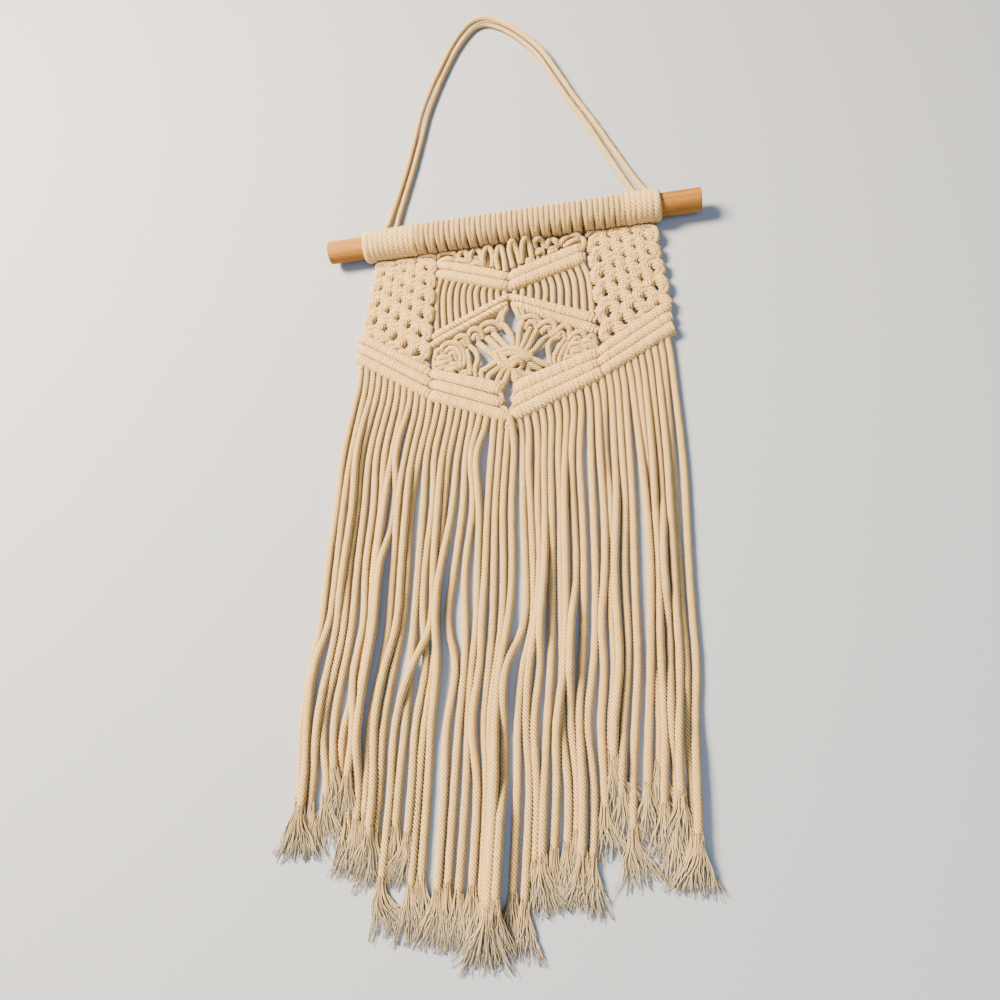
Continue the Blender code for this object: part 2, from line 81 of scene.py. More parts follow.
# a cord is a tube with a ridge for each ply, and the plies turn round it
cordLook = {
    "radius": 2.5,
    "plies": 6,
    "lay": 14.4,  # length of one full turn of the plies
    "ringsALay": 12,
    "fewRings": 9,  # for short and hidden cords
    "swell": 0.03, "swellRate": 0.45,  # handmade, never quite even
    "endReach": (0.40, 0.28), "endSizes": (0.45, 0.82),  # a rounded end's two smaller rings
    "endGroove": 0.6,  # and its tip's tone on the painted groove-shade scale, a little darker than a crest
    "curveSteps": 12,  # between two points of a route, before it is made even
    "plainLay": 6.0,  # what stands for the lay on threads, which have no plies
    "seamStep": 0.1,  # how far the fibres run on over the seam of a closed turn
    # each kind's groove: its depth as a share of the radius, and the tone of the painted shade in
    # it, 0 the darkest
    "free": (0.34, 0.0), "knot": (0.33, 0.0), "wrap": (0.12, 0.15),
}


def cordColumns(look, kind):
    # crests and grooves in turn: each an angle, a reach and a tone of painted groove shade
    depth, low = look[kind]
    half = math.pi / look["plies"]
    return np.array([(half * k, 1.0 - depth * (k % 2), between(1.0, low, k % 2))
                     for k in range(2 * look["plies"])])


def roundColumns(sides):
    return np.array([(2 * math.pi * k / sides, 1.0, 1.0) for k in range(sides)])


freePly = cordColumns(cordLook, "free")
knotPly = cordColumns(cordLook, "knot")
wrapPly = cordColumns(cordLook, "wrap")
threadSides = roundColumns(3)


def newShape():
    return {"points": [], "faces": [], "uvs": [], "groove": [], "tone": [], "count": 0}


def anyTurn(rng):
    # where a twist or wave starts, anywhere in a full turn
    return rng.uniform(0, 6.28)


def catmullRom(route, before, after):
    # a curve through the route; before and after say how it enters and leaves
    padded = np.vstack((before, route, after))
    t = np.linspace(0, 1, cordLook["curveSteps"], endpoint=False)[:, None]
    parts = []
    for k in range(len(route) - 1):
        a, b, c, d = padded[k:k + 4]
        parts.append(0.5 * (2 * b + (c - a) * t + (2 * a - 5 * b + 4 * c - d) * t ** 2
                            + (3 * b - a - 3 * c + d) * t ** 3))
    return np.vstack(parts + [route[-1:]])


def smoothLine(route, step):
    # even points on a curve through the route
    route = np.asarray(route, dtype=float)
    fine = catmullRom(route, 2 * route[0] - route[1], 2 * route[-1] - route[-2])
    run = np.concatenate(([0], np.cumsum(np.linalg.norm(np.diff(fine, axis=0), axis=1))))
    count = max(int(round(run[-1] / step)), 3)
    wanted = np.linspace(0, run[-1], count + 1)
    return np.stack([np.interp(wanted, run, fine[:, axis]) for axis in range(3)], axis=1)


def carriedFrames(line, normal):
    # a normal and its side direction at each point, carried along without turning
    ways = np.gradient(line, axis=0)
    ways /= np.linalg.norm(ways, axis=1)[:, None]
    if normal is None:  # upwards, unless the line itself starts steeply
        normal = (0.0, 0.0, 1.0) if abs(ways[0][2]) < 0.8 else (1.0, 0.0, 0.0)
    normal = np.asarray(normal, dtype=float)
    normals = np.empty_like(line)
    for k, way in enumerate(ways):
        normal = normal - way * np.dot(normal, way)
        normal = normal / np.linalg.norm(normal)
        normals[k] = normal
    return ways, normals, np.cross(ways, normals)


def addTube(shape, line, radius, columns, lay=None, phase=0.0, tone=0.5, normal=None,
            flat=(1.0, 1.0), closed=False, rounded=True, wear=None):
    # radius is one number or one for each point; flat squeezes the section along its two axes;
    # wear is how much of the crest's colour each point keeps
    line = np.asarray(line, dtype=float)
    count = len(line)
    sides = len(columns)
    if closed:
        wrapped = np.vstack((line[-1], line, line[0]))
        ways, normals, others = [part[1:-1] for part in carriedFrames(wrapped, normal)]
    else:
        ways, normals, others = carriedFrames(line, normal)
    radii = np.full(count, radius) if np.isscalar(radius) else np.asarray(radius, dtype=float)
    run = np.concatenate(([0], np.cumsum(np.linalg.norm(np.diff(line, axis=0), axis=1))))
    if closed and lay:  # a whole number of turns, so that the two ends meet
        whole = run[-1] + np.linalg.norm(line[0] - line[-1])
        lay = whole / max(round(whole / lay), 1)
    turn = phase - (2 * math.pi * run / lay if lay else np.zeros(count))
    if rounded and not closed:  # a rounded end is two smaller rings and a point
        reach = np.array(cordLook["endReach"])
        small = np.array(cordLook["endSizes"])
        line = np.vstack((line[0] - np.outer(reach * radii[0], ways[0]), line,
                          line[-1] + np.outer(reach[::-1] * radii[-1], ways[-1])))
        radii = np.concatenate((small * radii[0], radii, small[::-1] * radii[-1]))
        run = np.concatenate((run[0] - reach * radii[0], run, run[-1] + reach[::-1] * radii[-1]))
        turn = np.concatenate((turn[[0, 0]], turn, turn[[-1, -1]]))
        normals = np.vstack((normals[[0, 0]], normals, normals[[-1, -1]]))
        others = np.vstack((others[[0, 0]], others, others[[-1, -1]]))
        count += 4
    angles = columns[:, 0][None, :] + turn[:, None]
    reachOut = columns[:, 1][None, :] * radii[:, None]
    points = (line[:, None, :]
              + (flat[0] * reachOut * np.cos(angles))[:, :, None] * normals[:, None, :]
              + (flat[1] * reachOut * np.sin(angles))[:, :, None] * others[:, None, :])
    start = shape["count"]
    grid = start + np.arange(count * sides).reshape(count, sides)
    over = np.roll(grid, -1, axis=1)
    if closed:
        below, belowOver = np.roll(grid, -1, axis=0), np.roll(over, -1, axis=0)
        here, hereOver = grid, over
    else:
        here, hereOver, below, belowOver = grid[:-1], over[:-1], grid[1:], over[1:]
    quads = np.stack((here, hereOver, belowOver, below), axis=2).reshape(-1, 4)
    shape["points"].append(points.reshape(-1, 3))
    shape["faces"].append(quads)
    along = run / (lay or cordLook["plainLay"])
    ends = np.append(along[1:], along[-1] + cordLook["seamStep"]) if closed else along[1:]
    starts = along if closed else along[:-1]
    left = np.arange(sides) / sides
    u = np.stack((left, left + 1 / sides, left + 1 / sides, left), axis=1)
    u = np.broadcast_to(u[None], (len(starts), sides, 4))
    v = np.stack((starts, starts, ends, ends), axis=1)
    v = np.broadcast_to(v[:, None, :], (len(starts), sides, 4))
    shape["uvs"].append(np.stack((u, v), axis=3).reshape(-1, 2))
    # the groove attribute: each vertex's tone of painted groove shade, times the wear of loose
    # threads
    kept = np.ones(count) if wear is None else wear
    shape["groove"].append(np.outer(kept, columns[:, 2]).ravel())
    shape["tone"].append(np.full(count * sides, tone))
    shape["count"] += count * sides
    if not closed:
        for ring, centre, order in ((grid[0], line[0], -1), (grid[-1], line[-1], 1)):
            tip = shape["count"]
            shape["points"].append(centre[None])
            after = np.roll(ring, -1)
            pair = (ring, after) if order > 0 else (after, ring)
            fan = np.stack((pair[0], pair[1], np.full(sides, tip)), axis=1)
            shape["faces"].append(fan)
            shape["uvs"].append(np.full((3 * sides, 2), 0.5))
            shape["groove"].append(np.array((cordLook["endGroove"],)))
            shape["tone"].append(np.array((tone,)))
            shape["count"] += 1


def addCord(shape, route, rng, radius=None, columns=freePly, rings=None):
    lay = cordLook["lay"]
    line = smoothLine(route, lay / (rings or cordLook["ringsALay"]))
    start = anyTurn(rng)
    swell = 1 + cordLook["swell"] * np.sin(start + cordLook["swellRate"] * np.arange(len(line)))
    addTube(shape, line, (radius or cordLook["radius"]) * swell, columns, lay, start, rng.random())


def finishPiece(name, shape, material, nodes):
    mesh = bpy.data.meshes.new(name)
    points = toMetres(np.vstack(shape["points"]))
    faces = [face for block in shape["faces"] for face in block.tolist()]
    mesh.from_pydata(points.tolist(), [], faces)
    layer = mesh.uv_layers.new(name="along")
    layer.data.foreach_set("uv", np.vstack(shape["uvs"]).astype(np.float32).ravel())
    for key in ("groove", "tone"):
        values = mesh.attributes.new(key, "FLOAT", "POINT")
        values.data.foreach_set("value", np.concatenate(shape[key]).astype(np.float32))
    mesh.shade_smooth()
    mesh.materials.append(material)
    piece = bpy.data.objects.new(name, mesh)
    bpy.context.scene.collection.objects.link(piece)
    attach(piece, "root")
    if nodes:
        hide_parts(*nodes)
    print(name, "made,", sum(len(face) - 2 for face in faces), "triangles")
    return piece


white = (1.0, 1.0, 1.0)

cottonLook = {  # the ramps are pairs of place and colour
    "grooveShadeAndWear": ((0.0, (0.15, 0.115, 0.08)), (0.34, (0.50, 0.37, 0.205)),
              (0.7, (0.92, 0.615, 0.21))),  # painted shade in the ply grooves, from the darkest groove up to the crests, which have the cotton's own colour
    "cast": ((0.1, (0.95, 0.96, 0.93)), (0.5, (1.0, 1.0, 0.99)),
             (0.9, (1.0, 0.96, 0.95))),  # from the greyest cord to the pinkest
    "soil": ((0.3, (0.93, 0.92, 0.90)), (0.7, white)), "soilScale": 45.0, "soilShare": 0.8,
    "fibres": ((0.35, (0.76, 0.72, 0.66)), (0.6, white)), "fibreShare": 0.9,
    "fibreScale": (46.0, 8.0, 1.0),  # they run with the ply, finer across than along
    "fibreBump": 0.9, "fibreHeight": 0.0006,
    "specks": ((0.36, (0.80, 0.76, 0.70)), (0.58, white)), "speckScale": 1100.0,
    "speckShare": 0.8,
    "hollowShade": ((0.08, (0.10, 0.08, 0.065)), (0.22, (0.27, 0.28, 0.31)),
               (0.36, (0.60, 0.69, 0.84)), (0.64, white)),  # painted shade between the cords, darker where ambient occlusion finds other surfaces near
    "hollowShadeReach": 0.0036,
    # painted shade in the small creases, by ambient occlusion over a shorter reach
    "creaseShade": ((0.3, (0.50, 0.45, 0.39)), (0.62, (0.9, 0.9, 0.88)), (0.85, white)),
    "creaseShadeReach": 0.0013,
    "roughness": 0.92, "specular": 0.15, "sheen": 0.2, "sheenRoughness": 0.6,
}


def link(tree, source, target):
    tree.links.new(source, target)


def addNode(tree, kind, **values):
    node = tree.nodes.new(kind)
    for key, value in values.items():
        if hasattr(node, key):
            setattr(node, key, value)
        else:
            node.inputs[key].default_value = value
    return node


def addRamp(tree, source, stops):
    ramp = tree.nodes.new("ShaderNodeValToRGB")
    elements = ramp.color_ramp.elements
    while len(elements) < len(stops):
        elements.new(0.5)
    for element, (place, colour) in zip(elements, stops):
        element.position = place
        element.color = (*colour, 1.0)
    link(tree, source, ramp.inputs["Fac"])
    return ramp.outputs["Color"]


def multiply(tree, first, second, share):
    mix = tree.nodes.new("ShaderNodeMix")
    mix.data_type = "RGBA"
    mix.blend_type = "MULTIPLY"
    mix.inputs[0].default_value = share
    link(tree, first, mix.inputs[6])
    link(tree, second, mix.inputs[7])
    return mix.outputs[2]


def addNoise(tree, source, scale, detail, roughness=0.5):
    # scale is one number, or three for a pattern that is stretched
    if not np.isscalar(scale):
        stretch = addNode(tree, "ShaderNodeMapping", Scale=scale)
        link(tree, source, stretch.inputs["Vector"])
        source, scale = stretch.outputs["Vector"], 1.0
    noise = addNode(tree, "ShaderNodeTexNoise", Scale=scale, Detail=detail, Roughness=roughness)
    link(tree, source, noise.inputs["Vector"])
    return noise.outputs["Fac"]


def addBump(tree, shader, source, strength, height):
    bump = addNode(tree, "ShaderNodeBump", Strength=strength, Distance=height)
    link(tree, source, bump.inputs["Height"])
    link(tree, bump.outputs["Normal"], shader.inputs["Normal"])


def newMaterial(name, look):
    material = bpy.data.materials.new(name)
    material.use_nodes = True
    shader = material.node_tree.nodes["Principled BSDF"]
    shader.inputs["Roughness"].default_value = look["roughness"]
    shader.inputs["Specular IOR Level"].default_value = look["specular"]
    return material, material.node_tree, shader


def makeCotton(name, look):
    material, tree, shader = newMaterial(name, look)
    shader.inputs["Sheen Weight"].default_value = look["sheen"]
    shader.inputs["Sheen Roughness"].default_value = look["sheenRoughness"]
    groove = addNode(tree, "ShaderNodeAttribute", attribute_name="groove")
    tone = addNode(tree, "ShaderNodeAttribute", attribute_name="tone")
    place = tree.nodes.new("ShaderNodeTexCoord")
    # painted shade in the ply grooves by the groove attribute; on loose threads the same ramp
    # gives their worn tips
    colour = addRamp(tree, groove.outputs["Fac"], look["grooveShadeAndWear"])
    colour = multiply(tree, colour, addRamp(tree, tone.outputs["Fac"], look["cast"]), share=1.0)
    patches = addNoise(tree, place.outputs["Object"], look["soilScale"], detail=3.0)
    colour = multiply(tree, colour, addRamp(tree, patches, look["soil"]), look["soilShare"])
    fibres = addNoise(tree, place.outputs["UV"], look["fibreScale"], detail=3.0)
    colour = multiply(tree, colour, addRamp(tree, fibres, look["fibres"]), look["fibreShare"])
    fuzz = addNoise(tree, place.outputs["Object"], look["speckScale"], detail=2.0)
    colour = multiply(tree, colour, addRamp(tree, fuzz, look["specks"]), look["speckShare"])
    # painted shade: ambient occlusion darkens the colour between the cords and in the creases
    for kind in ("hollowShade", "creaseShade"):
        reach = look[kind + "Reach"]
        depth = addNode(tree, "ShaderNodeAmbientOcclusion", samples=4, Distance=reach)
        colour = multiply(tree, colour, addRamp(tree, depth.outputs["AO"], look[kind]), share=1.0)
    link(tree, colour, shader.inputs["Base Color"])
    addBump(tree, shader, fibres, look["fibreBump"], look["fibreHeight"])
    return material


cotton = makeCotton("natural_cotton", cottonLook)
frayLook = dict(
    cottonLook,
    # on the loose threads this first ramp holds no shade: it gives their tips their own greyer
    # tone
    grooveShadeAndWear=((0.0, (0.66, 0.56, 0.41)), (0.34, (0.80, 0.68, 0.50)), (0.7, (0.90, 0.69, 0.39))),
    # lighter painted shade for the loose threads
    hollowShade=((0.08, (0.35, 0.31, 0.27)), (0.22, (0.78, 0.78, 0.78)), (0.36, (0.90, 0.94, 1.0)),
            (0.64, white)),
    creaseShade=((0.3, (0.88, 0.88, 0.88)), (0.62, (0.9, 0.9, 0.88)), (0.85, white)))
frayCotton = makeCotton("frayed_cotton", frayLook)
print("cotton materials made")

hangerRoute = {
    "points": (  # x, y between the two cords, distance apart, climb in degrees, z
        (-103.3, 14.9, 9.6, 0, 8.0), (-102.0, 20.5, 9.0, 0, 5.4), (-100.4, 29.0, 8.0, 0, 3.2),
        (-97.4, 43.0, 6.8, 0, 2.6), (-87.0, 86.0, 6.0, 0, 2.6), (-79.5, 122.0, 5.7, 10, 2.6),
        (-73.0, 153.0, 5.5, 35, 2.6), (-64.5, 183.0, 5.5, 25, 2.6), (-54.5, 212.0, 5.5, 12, 2.6),
        (-45.5, 233.0, 5.5, 20, 2.6), (-35.0, 250.0, 5.5, 35, 2.6), (-25.0, 259.0, 5.5, 55, 2.6),
        (-14.0, 260.0, 5.5, 70, 2.6), (-3.0, 253.5, 5.5, 75, 2.6), (9.0, 242.0, 5.5, 75, 2.6),
        (22.0, 225.0, 5.5, 65, 2.6), (34.5, 204.5, 5.5, 45, 2.6), (47.0, 174.0, 5.6, 20, 2.6),
        (59.0, 143.0, 5.8, 5, 2.6), (73.0, 110.0, 6.2, 0, 2.6), (88.5, 69.0, 7.0, 0, 2.6),
        (98.5, 43.0, 7.8, 0, 2.6), (104.0, 29.0, 8.3, 0, 3.2), (107.6, 20.5, 8.7, 0, 5.4),
        (109.8, 14.9, 9.0, 0, 8.0)),
    "lengths": {"outer": 0.555, "inner": 0.547},
    "pathStep": 15.0,
}


def hangerLine(side):
    # one of the two cords; where the pair climbs, the outer one lies higher
    points = np.array(hangerRoute["points"])
    fine = catmullRom(points, points[0], points[-1])
    ahead = np.vstack((fine[1:], fine[-1:]))
    back = np.vstack((fine[:1], fine[:-1]))
    ways = (ahead - back)[:, :2]
    ways /= np.linalg.norm(ways, axis=1)[:, None]
    apart, climb = fine[:, 2], np.radians(fine[:, 3])
    out = side * apart / 2 * np.cos(climb)
    up = apart * np.sin(climb) if side > 0 else 0.0
    return np.stack((fine[:, 0] - ways[:, 1] * out, fine[:, 1] + ways[:, 0] * out,
                     fine[:, 4] + up), axis=1)


def makeHanger(name, side, rng):
    shape = newShape()
    line = hangerLine(side)
    addCord(shape, line, rng)
    piece = finishPiece("hanger_rope_" + name, shape, cotton,
                        ["hanger_cord_" + name])


makeHanger("outer", 1, random.Random(11))
makeHanger("inner", -1, random.Random(12))

dowelLook = {
    "length": 300.0, "radius": 9.0, "height": 13.0, "sides": 96,
    "softEdge": 0.8, "edgeSteps": 3, "edgeAngle": 60, "smoothAngle": 35,
    "grain": ((0.3, (0.22, 0.09, 0.015)), (0.5, (0.29, 0.125, 0.022)),
              (0.72, (0.37, 0.17, 0.034))),
    "grainScale": (14.0, 260.0, 260.0), "grainBump": 0.15, "grainHeight": 0.0003,
    "pores": ((0.34, (0.72, 0.62, 0.52)), (0.46, white)),
    "poreScale": (160.0, 1500.0, 1500.0), "poreShare": 0.6,
    "roughness": 0.7, "specular": 0.15,
}


def makeWood(name, look):
    material, tree, shader = newMaterial(name, look)
    place = tree.nodes.new("ShaderNodeTexCoord")
    grain = addNoise(tree, place.outputs["Object"], look["grainScale"], detail=6.0, roughness=0.6)
    colour = addRamp(tree, grain, look["grain"])
    pores = addNoise(tree, place.outputs["Object"], look["poreScale"], detail=2.0)
    colour = multiply(tree, colour, addRamp(tree, pores, look["pores"]), look["poreShare"])
    link(tree, colour, shader.inputs["Base Color"])
    addBump(tree, shader, grain, look["grainBump"], look["grainHeight"])
    return material


def makeDowel(look):
    bpy.ops.object.select_all(action="DESELECT")
    middle = Vector(toMetres((0.0, 0.0, look["height"])))
    bpy.ops.mesh.primitive_cylinder_add(
        vertices=look["sides"], radius=look["radius"] * mm, depth=look["length"] * mm,
        location=middle, rotation=(0, math.radians(90), 0))
    dowel = bpy.context.object
    dowel.name = "wooden_dowel"
    bpy.ops.object.transform_apply(location=True, rotation=True, scale=True)
    edge = dowel.modifiers.new("softEdge", "BEVEL")
    edge.width = look["softEdge"] * mm
    edge.segments = look["edgeSteps"]
    edge.limit_method = "ANGLE"
    edge.angle_limit = math.radians(look["edgeAngle"])
    bpy.ops.object.modifier_apply(modifier="softEdge")
    bpy.ops.object.shade_smooth_by_angle(angle=math.radians(look["smoothAngle"]))
    dowel.data.materials.append(makeWood("dowel_beech", look))
    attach(dowel, "root")
    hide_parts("dowel")
    print("dowel made")


makeDowel(dowelLook)

# the heading is a row of turns round the dowel, two to a pair
headingLook = {
    "ends": (-118.0, 117.5), "pairs": 28, "radius": 11.0, "wide": 2.65, "deep": 1.95,
    "rings": 60,
    "slide": 0.12, "lean": 0.4, "bulge": 0.12, "swell": (0.97, 1.04),  # how the turns differ
    "pinch": 0.5, "pinchSpread": (0.7, 1.2),  # how far a pair's lower fronts close up
    "pinchAngle": 78, "pinchPower": 8, "pinchPush": 2.0, "pinchBack": 0.15,  # and where
    "plainLeft": 4, "plainRight": 2,  # pairs that lie as tight plain turns
    "plainWide": 3.5, "plainLay": 17.0,
    "blend": 3,  # over how many pairs the plain turns fade
    "gapPlace": 57.0, "gapWidth": 0.8, "gapReach": 25.0,  # where a little of the wood shows
}


def makeHeading(look):
    shape = newShape()
    rng = random.Random(21)
    low, high = look["ends"]
    wraps = 2 * look["pairs"]
    pitch = (high - low) / wraps
    height = dowelLook["height"]
    scale = cordLook["radius"]
    peak = math.radians(look["pinchAngle"])
    for wrap in range(wraps):
        pair = wrap // 2
        side = -1 if wrap % 2 == 0 else 1
        inside = min(pair - look["plainLeft"] + 1, look["pairs"] - look["plainRight"] - pair)
        pinch = look["pinch"] * rng.uniform(*look["pinchSpread"]) if inside > 0 else 0.0
        past = min(max(inside, 0) / look["blend"], 1.0)
        x = low + (wrap + 0.5) * pitch + rng.uniform(-look["slide"], look["slide"])
        away = x - look["gapPlace"]
        x += math.copysign(look["gapWidth"] / 2, away) * max(0.0, 1 - abs(away) / look["gapReach"])
        lean = rng.uniform(-look["lean"], look["lean"])
        radius = look["radius"] + rng.uniform(-look["bulge"], look["bulge"])
        wide = between(look["plainWide"], look["wide"], past) * rng.uniform(*look["swell"])
        line = []
        for step in range(look["rings"]):
            turn = 2 * math.pi * step / look["rings"]
            front = max(0.0, math.cos(turn + peak))  # strongest on the panel's side
            close = look["pinchPush"] * front ** look["pinchPower"] - look["pinchBack"]
            shift = -side * pinch * close + lean * math.sin(turn)
            line.append((x + shift, radius * math.sin(turn), height + radius * math.cos(turn)))
        lay = between(look["plainLay"], cordLook["lay"], past)
        columns = freePly if past > 0.5 else wrapPly
        addTube(shape, line, scale, columns, lay, anyTurn(rng), rng.random(), normal=(1, 0, 0),
                flat=(wide / scale, look["deep"] / scale), closed=True)
    finishPiece("heading_turns", shape, cotton, ["heading"])


makeHeading(headingLook)

# the bars, knots and cords of the panel all follow these rows:
# left end x and y, y in the middle, half the gap there, right end x and y
panelRows = (
    (-59.5, -11.0, -11.0, 0.0, 56.0, -11.0),
    (-59.5, -13.8, -26.0, 0.0, 56.2, -15.5),
    (-59.7, -16.5, -36.0, 2.3, 56.5, -19.5),
    (-59.9, -20.5, -43.5, 0.0, 56.7, -24.0),
    (-60.1, -25.0, -47.5, 0.0, 56.9, -28.5),
    (-60.3, -30.0, -51.8, 0.0, 57.2, -33.5),
    (-60.5, -35.5, -55.8, 0.0, 57.5, -38.5),
    (-62.0, -60.0, -57.4, 0.0, 59.3, -63.0),
    (-63.3, -86.5, -59.0, 0.0, 61.0, -88.5),
    (-64.0, -90.8, -62.0, 0.0, 61.2, -93.3),
    (-64.6, -94.5, -65.0, 0.0, 61.4, -98.0),
    (-65.4, -98.2, -69.2, 2.3, 61.6, -103.5),
    (-66.2, -101.8, -75.0, 4.0, 61.8, -109.0),
    (-66.2, -105.3, -86.0, 6.0, 61.6, -111.3),
    (-66.2, -109.0, -104.5, 0.0, 61.3, -113.4),
    (-66.2, -112.6, -117.5, 0.0, 61.0, -115.4),
    (-65.9, -116.0, -129.5, 0.0, 60.8, -117.3),
    (-65.6, -119.2, -139.0, 5.2, 60.5, -119.3),
    (-65.3, -124.0, -144.5, 5.4, 60.2, -123.5),
    (-65.0, -128.5, -150.0, 5.1, 60.0, -127.5),
    (-64.8, -133.0, -156.2, 4.5, 60.0, -132.0),
    (-64.6, -137.8, -162.5, 2.7, 60.0, -136.3),
    (-64.3, -143.2, -168.5, 0.0, 60.0, -140.5),
    (-64.0, -149.3, -175.5, 0.0, 60.0, -145.5),
)
panelShape = {
    "borderRow": 17,  # the border's top edge
    "joinedRow": 12,  # from here down the side panels join the middle
    "holeShares": (14 / 24, 18 / 24),  # where the holes beside the flower lie, and y there
    "dips": {13: (-93.0, -92.5), 14: (-103.0, -113.5),
             15: (-126.0, -116.2), 16: (-129.7, -125.5)},
    "bow": {-1: 0.0, 1: 1.0},
    "outer": {-1: ((-112.3, -11.0), (-121.8, -76.0)), 1: ((112.5, -11.0), (118.0, -84.0))},
    "slit": {-1: ((-61.0, -11.0), (-66.2, -98.5)), 1: ((59.8, -11.0), (62.8, -105.5))},
    "borderEnds": {
        -1: ((-123.8, -81.5), (-124.0, -86.5), (-124.0, -91.5), (-124.0, -96.0),
             (-124.0, -101.5), (-124.0, -109.0)),
        1: ((116.0, -89.0), (116.0, -93.8), (115.8, -98.7), (115.5, -103.6),
            (115.0, -109.0), (114.5, -115.5)),
    },
    "centre": -2.2, "centreLean": 0.022,  # the middle line's x at the dowel, and its lean
    "centreBend": 2.5, "bendPlace": -155.0, "bendReach": 25.0,
}


def centreX(y):
    look = panelShape
    bend = max(0.0, 1 - abs(y - look["bendPlace"]) / look["bendReach"])
    return look["centre"] + look["centreLean"] * y - look["centreBend"] * bend


def halfSpot(side, row, share):
    leftX, leftY, midY, gap, rightX, rightY = panelRows[row]
    outerX, outerY = (leftX, leftY) if side < 0 else (rightX, rightY)
    x = between(outerX, centreX(midY) + side * gap, share)
    if row not in panelShape["dips"]:
        return np.array((x, between(outerY, midY, share)))
    holeA, holeB = panelShape["holeShares"]
    dipA, dipB = panelShape["dips"][row]
    if share <= holeA:
        y = between(outerY, dipA, share / holeA)
    elif share <= holeB:
        y = between(dipA, dipB, (share - holeA) / (holeB - holeA))
    else:
        y = between(dipB, midY, (share - holeB) / (1 - holeB))
    return np.array((x, y))


def sideSpot(side, row, share):
    top, foot = panelShape["outer"][side]
    if row <= panelShape["borderRow"]:
        way = row / panelShape["borderRow"]
        outer = between(np.array(top), np.array(foot), way)
        outer[0] += side * panelShape["bow"][side] * math.sin(math.pi * way)
    else:
        outer = np.array(panelShape["borderEnds"][side][row - panelShape["borderRow"] - 1])
    if row < panelShape["joinedRow"]:
        top, foot = panelShape["slit"][side]
        inner = between(np.array(top), np.array(foot), row / (panelShape["joinedRow"] - 1))
    else:
        inner = halfSpot(side, row, 0.0)
    return between(outer, inner, share)


def spot(block, side, row, share):
    # a place on the panel; rows may be fractions, share runs from the outer end
    find = halfSpot if block == "half" else sideSpot
    last = len(panelRows) - 1
    low = min(max(int(math.floor(row)), 0), last - 1)
    return between(find(side, low, share), find(side, low + 1, share), row - low)


def lift(point, z):
    return np.array((point[0], point[1], z))


# plain cords that lie behind, between the arms and the border
backLook = {
    "cords": 12, "radius": 2.5, "height": 2.5, "rows": (11.0, 18.0), "stops": 5,
    "lastShare": 0.54, "shortest": 0.0,
}


def addBackCords(shape, rng, look):
    first, last = look["rows"]
    for side in (-1, 1):
        for cord in range(look["cords"]):
            share = (cord + 0.5) / look["cords"]
            route = [lift(spot("half", side, between(first, last, t), share), look["height"])
                     for t in np.linspace(0, 1, look["stops"])]
            length = np.linalg.norm(route[0] - route[-1])
            if share < look["lastShare"] and length > look["shortest"]:
                addCord(shape, route, rng, look["radius"], knotPly, cordLook["fewRings"])


def makeBackCords(look):
    shape = newShape()
    addBackCords(shape, random.Random(25), look)
    finishPiece("back_cords", shape, cotton, [])


makeBackCords(backLook)

# bars of half hitches: the arms of the X and the border
barLook = {
    "hitches": 24,  # turns in each half and each side panel
    "rise": 3.7, "riseSpread": (-0.15, 0.2), "drop": 2.45, "middle": 4.1, "square": 0.85,
    "radial": 1.4, "swell": (0.96, 1.06), "rings": 14, "lay": 12.0,
    "core": 3.9, "coreRise": 0.5, "coreOver": 0.2,  # the cord that the turns go round
    "wayStep": 0.02,  # how far each side of a turn the bar's direction is taken
    # 1 is for the bars at right that rise to the right, -1 for the others, with closer turns
    "slant": {-1: 0.6, 1: 1.3}, "along": {-1: 3.9, 1: 3.5}, "uneven": {-1: 0.6, 1: 1.0},
    "overlap": {-1: 0.45, 1: 1.25},
    "endSizes": (0.72, 0.9, 0.98),  # the first turns at a bar's ends are smaller
    "slitTurns": ((16.9, 18.6), (18.4, 20.4), (20.3, 22.1)),  # rows that the slit's cords join
    "slitCurve": (  # share of the way down, out into the slit, z
        (0, -2.3, 4.2), (0.2, -0.4, 5.3), (0.5, 0.9, 5.6), (0.8, -0.4, 5.3), (1, -2.3, 4.2)),
    "slitRadius": 2.0,
    "arms": {3: 5, 5: 3, 9: 11, 11: 9},  # each bar's row and its neighbour's
    "border": {18: 20, 20: 22, 22: 20},
}


def addHitch(shape, place, way, width, size, kind, rng, look):
    # one closed turn of cord over a bar, which runs along way
    along = np.array((way[0], way[1], 0.0))
    across = np.array((-way[1], way[0], 0.0))
    line = []
    rise = (look["rise"] + rng.uniform(*look["riseSpread"]) * look["uneven"][kind]) * size
    for step in range(look["rings"]):
        turn = 2 * math.pi * (step + 0.5) / look["rings"]
        out, up = math.cos(turn), math.sin(turn)
        slant = look["slant"][kind] * out
        out = math.copysign(abs(out) ** look["square"], out)
        up = math.copysign(abs(up) ** look["square"], up)
        reach = rise if up > 0 else look["drop"]
        line.append(lift(place, look["middle"] + reach * up) + across * width * size * out
                    + along * slant)
    wide = look["along"][kind] * size * rng.uniform(*look["swell"])
    addTube(shape, line, 1.0, wrapPly, look["lay"], anyTurn(rng), rng.random(), normal=along,
            flat=(wide, look["radial"]), closed=True)


